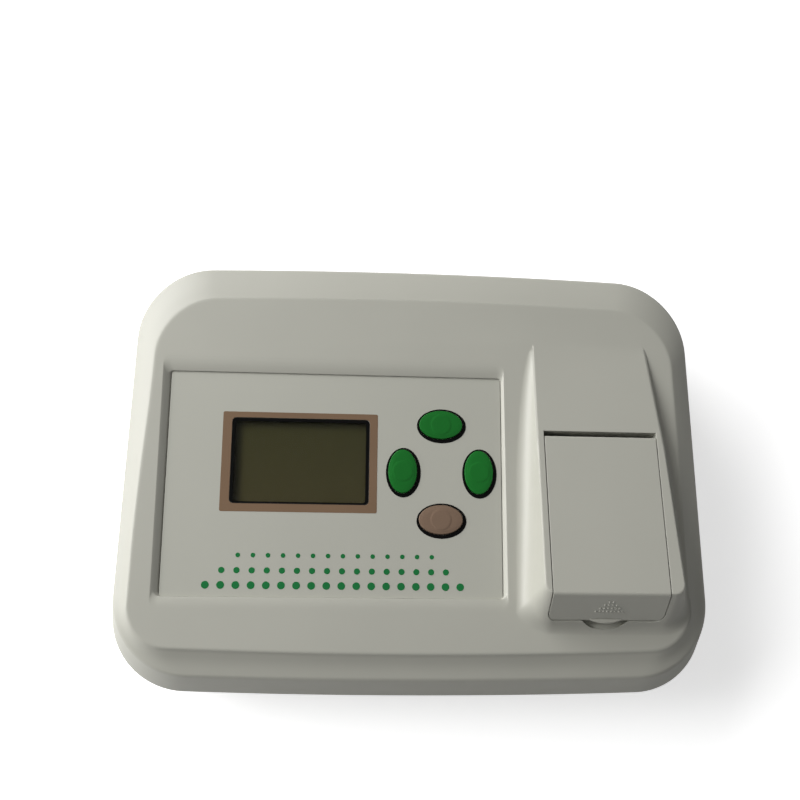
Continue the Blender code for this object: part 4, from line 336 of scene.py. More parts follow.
def loft(name, rings, matrix=None, looped=False):
    """A closed skin through rings of equally many points, capped at both ends or looped to the first."""
    bm = bmesh.new()
    made = [[bm.verts.new(point) for point in ring] for ring in rings]
    for lower, upper in zip(made, made[1:] + (made[:1] if looped else [])):
        for index, vertex in enumerate(lower):
            after = (index + 1) % len(lower)
            bm.faces.new((vertex, lower[after], upper[after], upper[index]))
    if not looped:
        bm.faces.new(made[0])
        bm.faces.new(made[-1])
    if matrix:
        bmesh.ops.transform(bm, matrix=matrix, verts=bm.verts)
    return finish_mesh(name, bm)


def prism(name, points, axis, start, stop, matrix=None):
    """An outline pushed along X, Y or Z; its points are (y, z), (x, z) or (x, y)."""
    along = {"X": (2, 0, 1), "Y": (0, 2, 1), "Z": (0, 1, 2)}[axis]
    rings = []
    for height in (start, stop):
        rings.append([tuple((*point, height)[index] for index in along) for point in points])
    return loft(name, rings, matrix)


def band(name, outer, inner, start, stop, matrix=None):
    """A closed band between two outlines of equally many points."""
    levels = ((inner, start), (outer, start), (outer, stop), (inner, stop))
    rings = [[(x, y, height) for x, y in outline] for outline, height in levels]
    return loft(name, rings, matrix, looped=True)


def ellipse(long_radius, short_radius, steps, centre=(0.0, 0.0)):
    turns = [2 * math.pi * index / steps for index in range(steps)]
    return [
        (centre[0] + long_radius * math.cos(turn), centre[1] + short_radius * math.sin(turn))
        for turn in turns
    ]


def circle(radius, steps=32, centre=(0.0, 0.0)):
    return ellipse(radius, radius, steps, centre)


def rounded_outline(corners, radii, corner_steps, edge_steps=None):
    """The corners in order, each turned by an arc, with edge_steps pieces on each edge that follows."""
    count = len(corners)
    edge_steps = edge_steps or [1] * count
    arcs = []
    for index, corner in enumerate(corners):
        here = Vector(corner)
        before = (Vector(corners[index - 1]) - here).normalized()
        after = (Vector(corners[(index + 1) % count]) - here).normalized()
        half = before.angle(after) / 2
        bisector = (before + after).normalized()
        centre = here + bisector * (radii[index] / math.sin(half))
        first = here + before * (radii[index] / math.tan(half)) - centre
        sweep = first.angle_signed(here + after * (radii[index] / math.tan(half)) - centre)
        turns = [Matrix.Rotation(-sweep * step / corner_steps, 2) for step in range(corner_steps + 1)]
        arcs.append([centre + turn @ first for turn in turns])
    points = []
    for index, arc in enumerate(arcs):
        points.extend(arc)
        start = arc[-1]
        stop = arcs[(index + 1) % count][0]
        pieces = edge_steps[index]
        points.extend(start.lerp(stop, step / pieces) for step in range(1, pieces))
    return [(point.x, point.y) for point in points]


def box_corners(low, high):
    return (low, (high[0], low[1]), high, (low[0], high[1]))


def rounded_rectangle(low, high, radius, corner_steps=PLAN_CORNER_STEPS):
    return rounded_outline(box_corners(low, high), [radius] * 4, corner_steps)


def place(data, name=None):
    """Puts data in the scene, under its own name when no other is given."""
    obj = bpy.data.objects.new(name or data.name, data)
    bpy.context.scene.collection.objects.link(obj)
    return obj


def cut(*shape):
    """A step of carve that takes a prism away."""
    return "DIFFERENCE", prism(*shape)


def carve(body, steps):
    """Applies the Booleans in order and removes their tools; steps are (operation, mesh)."""
    tools = []
    for operation, mesh in steps:
        tool = mesh if isinstance(mesh, bpy.types.Object) else place(mesh)
        tools.append(tool)
        modifier = body.modifiers.new(tool.name, "BOOLEAN")
        modifier.operation = operation
        modifier.solver = "EXACT"
        modifier.object = tool
    bpy.context.view_layer.update()
    graph = bpy.context.evaluated_depsgraph_get()
    made = bpy.data.meshes.new_from_object(body.evaluated_get(graph))
    body.modifiers.clear()
    old = body.data
    body.data = made
    bpy.data.meshes.remove(old)
    for tool in tools:
        mesh = tool.data
        bpy.data.objects.remove(tool, do_unlink=True)
        bpy.data.meshes.remove(mesh)
    return body


def smooth(obj, angle=30.0, flat_area=2e-5, flat_angle=2.0):
    """Smooth shading with sharp edges by angle, and between two large faces at a small angle too."""
    bm = bmesh.new()
    bm.from_mesh(obj.data)
    bmesh.ops.remove_doubles(bm, verts=bm.verts, dist=1e-7)
    bmesh.ops.dissolve_degenerate(bm, edges=bm.edges, dist=1e-6)
    for face in bm.faces:
        face.smooth = True
    for edge in bm.edges:
        if len(edge.link_faces) != 2:
            continue
        turn = math.degrees(edge.calc_face_angle(0.0))
        large = min(face.calc_area() for face in edge.link_faces) > flat_area
        edge.smooth = not (turn > angle or (large and turn > flat_angle))
    bm.to_mesh(obj.data)
    bm.free()
    weighted = obj.modifiers.new("weighted_normals", "WEIGHTED_NORMAL")
    weighted.keep_sharp = True
    weighted.weight = 90
    return obj


# Materials

def set_inputs(node, **values):
    """Puts each value on the input of its name, with a space for each underscore."""
    for name, value in values.items():
        node.inputs[name.replace("_", " ")].default_value = value


def node_with(nodes, kind, **values):
    made = nodes.new(f"ShaderNode{kind}")
    set_inputs(made, **values)
    return made


def ramp_with(nodes, low, high, low_at=0.0, high_at=1.0):
    """A colour ramp between two colours."""
    made = nodes.new("ShaderNodeValToRGB")
    for element, colour, position in zip(made.color_ramp.elements, (low, high), (low_at, high_at)):
        element.position = position
        element.color = (*colour, 1)
    return made


def links(made, *pairs):
    """Links nodes; each pair is (node, its output, next node, its input)."""
    for start, output, stop, entry in pairs:
        made.node_tree.links.new(start.outputs[output], stop.inputs[entry])


def shader_of(name, roughness, metallic=0.0, coat=0.0, specular=0.5):
    """A new material, its tree and its shader, with the even values on the shader's own sockets."""
    made = bpy.data.materials.new(name)
    made.use_nodes = True
    shader = made.node_tree.nodes["Principled BSDF"]
    set_inputs(shader, Roughness=roughness, Metallic=metallic, Coat_Weight=coat, Specular_IOR_Level=specular)
    return made, made.node_tree.nodes, shader


def moulded(
    name, colour, roughness=0.45, grain=1400.0, depth=0.000012, shade=0.05,
    edge=0.0, coat=0.0, metallic=0.0, specular=0.5,
):
    """Moulded or painted surface: slow shade, fine grain in bump and gloss, and edges rounded by edge."""
    made, nodes, shader = shader_of(name, roughness, metallic, coat, specular)
    place_node = node_with(nodes, "TexCoord")
    slow = node_with(nodes, "TexNoise", Scale=22.0, Detail=3.0)
    darker = [channel * (1 - shade) for channel in colour]
    lighter = [min(channel * (1 + shade), 1) for channel in colour]
    ramp = ramp_with(nodes, darker, lighter, 0.3, 0.7)
    fine = node_with(nodes, "TexNoise", Scale=grain, Detail=2.0)
    gloss = node_with(nodes, "MapRange", To_Min=roughness - 0.05, To_Max=roughness + 0.07)
    bump = node_with(nodes, "Bump", Strength=0.5, Distance=depth)
    links(
        made,
        (place_node, "Object", slow, "Vector"),
        (place_node, "Object", fine, "Vector"),
        (slow, "Fac", ramp, "Fac"),
        (ramp, "Color", shader, "Base Color"),
        (fine, "Fac", gloss, "Value"),
        (gloss, "Result", shader, "Roughness"),
        (fine, "Fac", bump, "Height"),
        (bump, "Normal", shader, "Normal"),
    )
    if edge:
        bevel = node_with(nodes, "Bevel", Radius=edge)
        bevel.samples = 6
        links(made, (bevel, "Normal", bump, "Normal"))
    return made


def drawn_metal(name, colour, roughness=0.32, stretch=(1.0, 1.0, 40.0)):
    """Plated or drawn metal with fine lines along one direction."""
    made, nodes, shader = shader_of(name, roughness, 1.0)
    place_node = node_with(nodes, "TexCoord")
    mapping = node_with(nodes, "Mapping", Scale=stretch)
    lines = node_with(nodes, "TexNoise", Scale=160.0)
    ramp = ramp_with(nodes, [channel * 0.85 for channel in colour], colour)
    gloss = node_with(nodes, "MapRange", To_Min=roughness - 0.08, To_Max=roughness + 0.12)
    links(
        made,
        (place_node, "Object", mapping, "Vector"),
        (mapping, "Vector", lines, "Vector"),
        (lines, "Fac", ramp, "Fac"),
        (ramp, "Color", shader, "Base Color"),
        (lines, "Fac", gloss, "Value"),
        (gloss, "Result", shader, "Roughness"),
    )
    return made


def clear_window(name):
    """Clear film over the display: mostly see-through, with a faint gloss."""
    made = bpy.data.materials.new(name)
    made.use_nodes = True
    nodes = made.node_tree.nodes
    nodes.clear()
    output = node_with(nodes, "OutputMaterial")
    through = node_with(nodes, "BsdfTransparent", Color=(0.96, 0.97, 0.95, 1))
    gloss = node_with(nodes, "BsdfGlossy", Roughness=0.12)
    fresnel = node_with(nodes, "Fresnel", IOR=1.12)
    mix = node_with(nodes, "MixShader")
    links(
        made,
        (fresnel, "Fac", mix, "Fac"),
        (through, "BSDF", mix, 1),
        (gloss, "BSDF", mix, 2),
        (mix, "Shader", output, "Surface"),
    )
    return made


def glass(name, colour, roughness=0.04):
    made, nodes, shader = shader_of(name, roughness)
    set_inputs(shader, Base_Color=(*colour, 1), Transmission_Weight=0.9, IOR=1.5)
    dust = node_with(nodes, "TexNoise", Scale=300.0)
    gloss = node_with(nodes, "MapRange", To_Min=roughness, To_Max=roughness + 0.06)
    links(
        made,
        (dust, "Fac", gloss, "Value"),
        (gloss, "Result", shader, "Roughness"),
    )
    return made


def display_glass(name, near, far):
    """Unlit olive display with painted light: a painted sheen from near at its lower edge to far, and painted
    shadow along the top and left.
    """
    made, nodes, shader = shader_of(name, 0.30, specular=0.12)
    place_node = node_with(nodes, "TexCoord")
    parts = node_with(nodes, "SeparateXYZ")
    runs = []
    for low, high in ((DISPLAY_X, DISPLAY_X + DISPLAY_WIDTH), (DISPLAY_Y, DISPLAY_Y + DISPLAY_HEIGHT)):
        runs.append(node_with(nodes, "MapRange", From_Min=low, From_Max=high))
    # Painted sheen from near at the lower edge to far, then painted shadow falling to a quarter of far along
    # the top edge.
    rise = ramp_with(nodes, near, [channel * 0.25 for channel in far])
    middle = rise.color_ramp.elements.new(0.88)
    middle.color = (*far, 1)
    # Painted shadow along the left edge, where the window's edge shades the sunk display.
    side = ramp_with(nodes, (0.25, 0.25, 0.25), (1, 1, 1), 0.02, 0.09)
    both = node_with(nodes, "Mix", Factor=1.0)
    both.data_type = "RGBA"
    both.blend_type = "MULTIPLY"
    cells = node_with(nodes, "TexNoise", Scale=900.0)
    bump = node_with(nodes, "Bump", Strength=0.25, Distance=0.000002)
    links(
        made,
        (place_node, "Object", parts, "Vector"),
        (parts, "X", runs[0], "Value"),
        (parts, "Y", runs[1], "Value"),
        (runs[0], "Result", side, "Fac"),
        (runs[1], "Result", rise, "Fac"),
        (rise, "Color", both, 6),
        (side, "Color", both, 7),
        (both, 2, shader, "Base Color"),
        (place_node, "Object", cells, "Vector"),
        (cells, "Fac", bump, "Height"),
        (bump, "Normal", shader, "Normal"),
    )
    return made


def board_resist(name):
    """Green solder resist with darker and lighter tracks."""
    made, nodes, shader = shader_of(name, 0.35)
    place_node = node_with(nodes, "TexCoord")
    tracks = node_with(
        nodes,
        "TexBrick",
        Scale=180.0,
        Color1=(0.010, 0.115, 0.035, 1),
        Color2=(0.014, 0.150, 0.048, 1),
        Mortar=(0.030, 0.230, 0.085, 1),
        Mortar_Size=0.04,
    )
    bump = node_with(nodes, "Bump", Distance=0.00003)
    links(
        made,
        (place_node, "Object", tracks, "Vector"),
        (tracks, "Color", shader, "Base Color"),
        (tracks, "Fac", bump, "Height"),
        (bump, "Normal", shader, "Normal"),
    )
    return made


# Name, colour, roughness, grain, bump depth, shade, and where needed edge, coat, metallic and specular
MOULDED_LOOKS = (
    ("case_plastic", (0.415, 0.412, 0.362), 0.42, 1500.0, 0.000012, 0.015, 0.00045),
    ("tray_plastic", (0.36, 0.36, 0.32), 0.5, 1200.0, 0.00002, 0.03, 0.0004),
    ("panel_film", (0.425, 0.424, 0.372), 0.36, 2200.0, 0.000005, 0.012),
    ("bezel_metal", (0.012, 0.012, 0.012), 0.4, 900.0, 0.00001, 0.2),
    ("black_plastic", (0.016, 0.016, 0.018), 0.45, 1200.0, 0.00002, 0.15),
    ("key_green", (0.0075, 0.1350, 0.0170), 0.30, 2600.0, 0.000004, 0.06, 0.0, 0.0, 0.0, 0.14),
    ("key_tan", (0.195, 0.132, 0.092), 0.32, 2600.0, 0.000004, 0.05, 0.0, 0.0, 0.0, 0.14),
    ("rubber", (0.022, 0.022, 0.022), 0.82, 700.0, 0.00004, 0.2),
    ("chamber_black", (0.012, 0.012, 0.013), 0.62, 800.0, 0.00003, 0.2),
    ("holder_black", (0.022, 0.022, 0.023), 0.5, 1000.0, 0.00002, 0.2),
    ("capacitor_sleeve", (0.03, 0.05, 0.12), 0.35, 600.0, 0.00002, 0.1, 0.0, 0.3),
    ("heatsink_aluminium", (0.03, 0.03, 0.03), 0.4, 900.0, 0.00002, 0.1, 0.0, 0.0, 0.8),
    ("connector_plastic", (0.62, 0.61, 0.54), 0.5, 900.0, 0.00002, 0.05),
    ("winding_tape", (0.52, 0.36, 0.08), 0.42, 500.0, 0.00003, 0.08),
    ("painted_sheet", (0.36, 0.36, 0.32), 0.42, 1800.0, 0.00002, 0.03),
    ("drawer_plastic", (0.030, 0.030, 0.032), 0.45, 1100.0, 0.00002, 0.15),
    ("rocker_plastic", (0.020, 0.020, 0.022), 0.25, 1500.0, 0.000008, 0.1, 0.0, 0.3),
)
MATERIALS = {look[0]: moulded(*look) for look in MOULDED_LOOKS}
for maker, name, *values in (
    (clear_window, "window_plastic"),
    # The display's near and far colours are its painted sheen, lighter at the lower edge.
    (display_glass, "lcd_glass", (0.082, 0.069, 0.031), (0.063, 0.057, 0.023)),
    (board_resist, "circuit_board"),
    (drawn_metal, "steel", (0.58, 0.58, 0.59)),
    (glass, "lamp_glass", (0.95, 0.93, 0.86)),
    (glass, "lens_glass", (0.90, 0.95, 0.95)),
    (glass, "filter_glass", (0.06, 0.16, 0.60)),
    (drawn_metal, "core_iron", (0.24, 0.23, 0.22), 0.5, (1.0, 60.0, 1.0)),
):
    MATERIALS[name] = maker(name, *values)
PRINT_GREEN = moulded("print_green", (0.010, 0.150, 0.040), 0.4, 2200.0, 0.000004, 0.08, specular=0.15)
PRINT_TAN = moulded("print_tan", (0.180, 0.115, 0.070), 0.42, 2200.0, 0.000004, 0.05, specular=0.2)
PRINT_BLACK = moulded("print_black", (0.004, 0.004, 0.004), 0.42, 2200.0, 0.000004, 0.2, specular=0.03)


def dress(obj, material, body="housing"):
    obj.data.materials.clear()
    obj.data.materials.append(MATERIALS[material] if isinstance(material, str) else material)
    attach(obj, body)
    return obj


def dress_nodes():
    """Gives each CAD node the material of its slot in the record."""
    for part in frame["record"]["subparts"]:
        node = frame["nodes"][part["node"]]
        for slot in node.material_slots:
            slot.material = MATERIALS[part["material_slot"]]


# The case

def housing_ring(front, back, side_inset, radii, height):
    """One level of the case: a bowed, rounded outline whose sides follow the skirt's draft."""
    half = HALF_WIDTH - side_inset
    corners = box_corners((-half, front), (half, back))
    steps = (END_STEPS, SIDE_STEPS, END_STEPS, SIDE_STEPS)
    plan = rounded_outline(corners, (radii[0], radii[0], radii[1], radii[1]), CORNER_STEPS, steps)
    middle = (front + back) / 2
    reach = (back - front) / 2
    ring = []
    for x, y in plan:
        bowed = y - END_BOW * (y - middle) / reach * (x / half) ** 2
        z = height(bowed)
        ring.append(Vector((x * (1 - SIDE_DRAFT_SHARE * (z - RIM_Z) / half), bowed, z)))
    return ring


def turn_ring(before, corner, after, reach, steps):
    """Rings that round the corner ring off between its two neighbours."""
    rings = []
    for step in range(steps + 1):
        share = step / steps
        ring = []
        for a, b, c in zip(before, corner, after):
            start = b + (a - b).normalized() * min(reach, (a - b).length * TURN_LIMIT)
            stop = b + (c - b).normalized() * min(reach, (c - b).length * TURN_LIMIT)
            ring.append(start * (1 - share) ** 2 + b * 2 * share * (1 - share) + stop * share**2)
        rings.append(ring)
    return rings


def widen_left(ring):
    """Moves the plateau's left edge out, more towards the front, so that the shoulder narrows there."""
    for point in ring:
        ahead = clamp((WIDEN_BACK_Y - point.y) / WIDEN_RUN_Y)
        aside = clamp((-point.x - WIDEN_INNER_X) / WIDEN_RUN_X)
        point.x -= LEFT_SHOULDER_GAIN * eased(ahead) * eased(aside)
    return ring


def shell_rings():
    """From the ceiling down the inside, round the rim, up the skirt and over the shoulder to the plateau."""
    def rim(_y):
        return RIM_Z

    def to_back(y):
        return clamp((y / HALF_DEPTH + 1) / 2)

    def shoulder(y):
        return plateau_z(y) - FRONT_SHOULDER_DROP - (SHOULDER_DROP - FRONT_SHOULDER_DROP) * to_back(y)

    def step(y):
        drop = FRONT_STEP_DROP + (BACK_STEP_DROP - FRONT_STEP_DROP) * min(to_back(y) * STEP_RATE, 1.0)
        return plateau_z(y) - drop

    def sag_at(y):
        return FRONT_SAG + (BACK_SAG - FRONT_SAG) * min(to_back(y) * SAG_RATE, 1.0)

    radii = (EDGE_CORNER_FRONT, EDGE_CORNER_BACK)
    inner_radii = (EDGE_CORNER_FRONT - WALL, EDGE_CORNER_BACK - WALL)
    rim_radii = (RIM_CORNER, RIM_CORNER)
    rim_inner = (RIM_CORNER - WALL, RIM_CORNER - WALL)
    front = PLATEAU_FRONT_Y
    back = PLATEAU_BACK_Y
    side = SHOULDER_SIDE
    ceiling = housing_ring(front + WALL, back - WALL, side + WALL, inner_radii, lambda y: plateau_z(y) - WALL)
    inner_shoulder = housing_ring(
        SHOULDER_FRONT_Y + WALL, SHOULDER_BACK_Y - WALL, WALL, rim_inner, lambda y: shoulder(y) - WALL / 2
    )
    inner_rim = housing_ring(-HALF_DEPTH + WALL, BACK_REACH - WALL, WALL, rim_inner, rim)
    outer_rim = housing_ring(-HALF_DEPTH, BACK_REACH, 0, rim_radii, rim)
    front_edge = SHOULDER_FRONT_Y + END_DRAFT_SHARE * (SHOULDER_DROP - FRONT_SHOULDER_DROP)
    edge = housing_ring(front_edge, SHOULDER_BACK_Y, 0, rim_radii, shoulder)
    foot = widen_left(housing_ring(front - STEP_RUN, back + STEP_RUN, side - STEP_RUN, radii, step))
    top = widen_left(housing_ring(front, back, side, radii, plateau_z))
    field = housing_ring(front + 2 * WALL, back - 2 * WALL, side + 2 * WALL, inner_radii, plateau_z)
    sag = [b.lerp(a, SAG_PLACE_SHARE) - Vector((0, 0, sag_at(b.y))) for a, b in zip(edge, foot)]
    rings = [ceiling, inner_shoulder, inner_rim]
    rings += turn_ring(inner_rim, outer_rim, edge, RIM_TURN, 3)
    rings += turn_ring(outer_rim, edge, sag, SKIRT_TURN, 7)
    rings += turn_ring(edge, sag, foot, SAG_TURN, 6)
    rings += turn_ring(sag, foot, top, STEP_TURN, 5)
    rings += turn_ring(foot, top, field, STEP_TURN, 5)
    return rings


def turret_outline(drop, inset=0.0, front_inset=0.0):
    """Plan of the turret at a distance below its top; the flanks lean out and the corners grow."""
    share = drop / TURRET_DROP
    lean = FLANK_LEAN_SHARE * drop
    front = TURRET_FRONT - FRONT_LEAN_SHARE * drop + inset + front_inset
    left = TURRET_LEFT - lean + inset
    corner = TURRET_TOP_CORNER + (TURRET_FOOT_CORNER - TURRET_TOP_CORNER) * share
    corners = (
        (left, front),
        (TURRET_RIGHT_FRONT + lean - inset, front),
        (TURRET_RIGHT_MIDDLE + lean - inset, TURRET_MIDDLE_Y),
        (TURRET_RIGHT_BACK + lean - inset, TURRET_BACK - inset),
        (left, TURRET_BACK - inset),
    )
    radii = (corner, corner, TURRET_DROP, TURRET_BACK_CORNER, TURRET_BACK_CORNER)
    return rounded_outline(corners, radii, CORNER_STEPS, TURRET_STEPS)


def flare_share(index):
    """The flare's size at a point of the turret's outline: full on the left, smaller across the front."""
    first = index / (CORNER_STEPS * FLARE_TURN_SHARE)
    last = (index - CORNER_STEPS - FRONT_PIECES) / CORNER_STEPS
    across = max(min(first, 1.0) - clamp(last), 0.0)
    return 1 - (1 - FRONT_FLARE_SHARE) * eased(across)


def flare_level(level, clear, radius):
    """Height over the plateau and way out of the flank at one level of the flare, cut off by the top."""
    whole = math.pi / 2 - math.atan(FLANK_LEAN_SHARE)
    radius *= min(max(clear / FLARE_FULL_HEIGHT, FLARE_LEAST_SHARE), 1.0) ** FLARE_GROWTH
    room = max(clear - min(FLARE_EDGE, clear * FLARE_EDGE_SHARE), 0.0) / radius
    most = min(whole, math.acos(max(1 - room, -1.0)))
    tangent = math.tan(whole / 2)

    def run_at(turn):
        return tangent - math.sin(turn) + FLANK_LEAN_SHARE * (1 - math.cos(turn))

    if level > FLARE_STEPS:
        return -FLARE_SUNK, radius * (tangent - run_at(most)) + FLARE_FOOT_REACH
    turn = most * (1 - level / FLARE_STEPS)
    return radius * (1 - math.cos(turn)), max(radius * (run_at(turn) - run_at(most)), 0.0)


def turret_rings():
    """A rounded top edge, then levels that flare out along an arc where the flanks meet the plateau."""
    top = turret_outline(0)
    foot = turret_outline(TURRET_DROP)
    rings = []
    for inset, drop in TURRET_EDGE_LEVELS:
        rings.append([Vector((x, y, TURRET_TOP - drop)) for x, y in turret_outline(0, inset)])
    for level in range(FLARE_STEPS + 2):
        ring = []
        for index, ((top_x, top_y), (foot_x, foot_y)) in enumerate(zip(top, foot)):
            clear = TURRET_TOP - plateau_z(top_y)
            rise, run = flare_level(level, clear, FLARE_RADIUS * flare_share(index))
            lean_x = foot_x - top_x
            lean_y = foot_y - top_y
            fall = (clear - max(rise, 0.0)) / (TURRET_DROP + lean_y * SLOPE)
            fall = max(fall, FALL_LEAST_SHARE + level * FALL_STEP_SHARE)
            length = math.hypot(lean_x, lean_y)
            spread = run / length if length > GAP else 0.0
            if lean_x > 0:
                spread *= 1 - (1 - RIGHT_FLARE_SHARE) * lean_x / length
            x = top_x + lean_x * (fall + spread)
            y = top_y + lean_y * (fall + spread)
            ring.append(Vector((x, y, min(plateau_z(y) + rise, TURRET_TOP - TURRET_DROP * fall))))
        rings.append(ring)
    return rings


def pocket_profile(offset=0.0):
    """Side view of the lid's pocket as (y, z): back wall, hinge trough, deck, front slope and ledge."""
    back = LID_BACK + LID_BACK_SLOT + offset
    trough_front = HINGE_Y - HINGE_TROUGH_FRONT - offset
    trough_floor = TURRET_TOP - HINGE_TROUGH_DEPTH - offset
    deck = DECK_Z - offset
    ledge = LEDGE_Z - offset
    face = LID_FRONT + APRON_RUN + LID_GAP + offset * math.sqrt(1 + FRONT_LEAN_SHARE**2)
    above = TURRET_TOP + WALL + OVERRUN
    return [
        (back, above),
        (back, trough_floor),
        (trough_front, trough_floor),
        (trough_front, deck),
        (face - FRONT_LEAN_SHARE * (TURRET_TOP - deck), deck),
        (face - FRONT_LEAN_SHARE * (TURRET_TOP - ledge), ledge),
        (-HALF_DEPTH, ledge),
        (-HALF_DEPTH, above),
    ]


def lid_trim(name, grow):
    low = (LID_LEFT - grow, TURRET_TOP - LID_FACE_HEIGHT - grow)
    high = (LID_RIGHT + grow, TURRET_TOP + WALL + OVERRUN)
    radii = (LID_CORNER + grow, LID_CORNER + grow, GAP, GAP)
    outline = rounded_outline(box_corners(low, high), radii, CORNER_STEPS)
    return prism(name, outline, "Y", -HALF_DEPTH, HALF_DEPTH)


def crescent(width, reach, inset, steps=32):
    """Outline in plan: a chord that lies inset behind the lid's lower edge, and an arc in front of it."""
    chord_y = LID_FRONT - FRONT_LEAN_SHARE * LID_FACE_HEIGHT + inset
    depth = reach + inset
    radius = ((width / 2) ** 2 + depth**2) / (2 * depth)
    half_turn = math.asin(width / 2 / radius)
    turns = [half_turn * (2 * step / steps - 1) for step in range(steps + 1)]
    middle = (LID_LEFT + LID_RIGHT) / 2
    tip = chord_y - depth
    return [(middle + radius * math.sin(turn), tip + radius * (1 - math.cos(turn))) for turn in turns]


def notch_rings():
    """Crescent hollow under the lid's tab, its wall drawn in towards the floor."""
    floor = LEDGE_Z - NOTCH_SCOOP
    levels = [(shrink, floor + rise) for shrink, rise in NOTCH_LEVELS] + [(0.0, LEDGE_Z + WALL)]
    rings = []
    for shrink, z in levels:
        outline = crescent(NOTCH_WIDTH - 2 * shrink, NOTCH_REACH - shrink, NOTCH_UNDERCUT)
        rings.append([(x, y, z) for x, y in outline])
    return rings


def tab_rings():
    """The lid's finger tab with its edges rounded."""
    bottom = TURRET_TOP - LID_FACE_HEIGHT
    rings = []
    for shrink, rise in TAB_LEVELS:
        outline = crescent(TAB_WIDTH - 2 * shrink, TAB_REACH - shrink, TAB_THICKNESS)
        rings.append([(x, y, bottom + rise) for x, y in outline])
    return rings


def seat_share(depth, start, bend):
    """How far out a wall of the seat has gone at a share of its depth; it rises straight up to start."""
    rest = min((1 - depth) / (1 - start), 1.0)
    return 1 - rest ** (1 / bend)


def seat_rings():
    """Cutter for the sunk seat: straight round the plate, then a soft slope of its own on each side."""
    floor = -PLATE_THICKNESS - GAP
    high = (PANEL_WIDTH + SEAT_MARGIN, PANEL_HEIGHT + SEAT_END_MARGIN)
    corners = box_corners((-SEAT_MARGIN, -SEAT_END_MARGIN), high)
    levels = [(0.0, 0.0, 0.0, floor), (0.0, 0.0, 0.0, -SEAT_FOOT_SUNK)]
    for step in range(1, SEAT_STEPS + 1):
        depth = 1 - (1 - step / SEAT_STEPS) ** SEAT_GATHER
        side = seat_share(depth, 0.0, SEAT_SIDE_BEND)
        front = seat_share(depth, SEAT_FRONT_START, SEAT_END_BEND)
        back = seat_share(depth, SEAT_BACK_START, SEAT_END_BEND)
        levels.append((side, front, back, PANEL_SUNK * depth - SEAT_SKIM))
    levels.append((SEAT_PAST_SHARE, SEAT_PAST_SHARE, SEAT_PAST_SHARE, PANEL_SUNK + OVERRUN))
    rings = []
    for side, front, back, w in levels:
        ends = (front, front, back, back)
        grown = [(x + side * gx, y + end * gy) for (x, y), (gx, gy), end in zip(corners, SEAT_SLOPES, ends)]
        outline = rounded_outline(grown, [SEAT_CORNER + side * SEAT_CORNER_GAIN] * 4, PLAN_CORNER_STEPS)
        rings.append([(u, v, w) for u, v in outline])
    return rings


def key_places():
    u = KEY_CROSS_U
    v = KEY_CROSS_V
    return (
        ("top", u, v + KEY_SPREAD_V, True),
        ("left", u - KEY_SPREAD_U, v, False),
        ("right", u + KEY_SPREAD_U, v, False),
        ("bottom", u, v - KEY_SPREAD_V, True),
    )


def key_oval(grow, wide, centre=(0.0, 0.0), steps=KEY_STEPS):
    long_radius = KEY_LONG / 2 + grow
    short_radius = KEY_SHORT / 2 + grow
    if wide:
        return ellipse(long_radius, short_radius, steps, centre)
    return ellipse(short_radius, long_radius, steps, centre)


def display_outline(grow, radius=DISPLAY_CORNER):
    low = (DISPLAY_LEFT - grow, DISPLAY_BOTTOM - grow)
    high = (DISPLAY_LEFT + DISPLAY_WIDTH + grow, DISPLAY_BOTTOM + DISPLAY_HEIGHT + grow)
    return rounded_rectangle(low, high, max(radius + min(grow, 0.0), GAP))


def rear_bow():
    return END_BOW * ((REAR_HALF_WIDTH + WALL) / HALF_WIDTH) ** 2


def rear_profile(grow, inside):
    floor = RIM_Z + (0.0 if inside else -OVERRUN)
    top = REAR_TOP_Z + grow

    def wall_y(z):
        return BACK_REACH - END_DRAFT_SHARE * (z - RIM_Z) - rear_bow() - WALL / 4

    if inside:
        near = REAR_PANEL_Y - WALL
        return [(near, floor), (wall_y(floor), floor), (wall_y(top), top), (near, top)]
    near = REAR_PANEL_Y - WALL - OVERRUN
    far = BACK_REACH + WALL
    return box_corners((near, floor), (far, top))


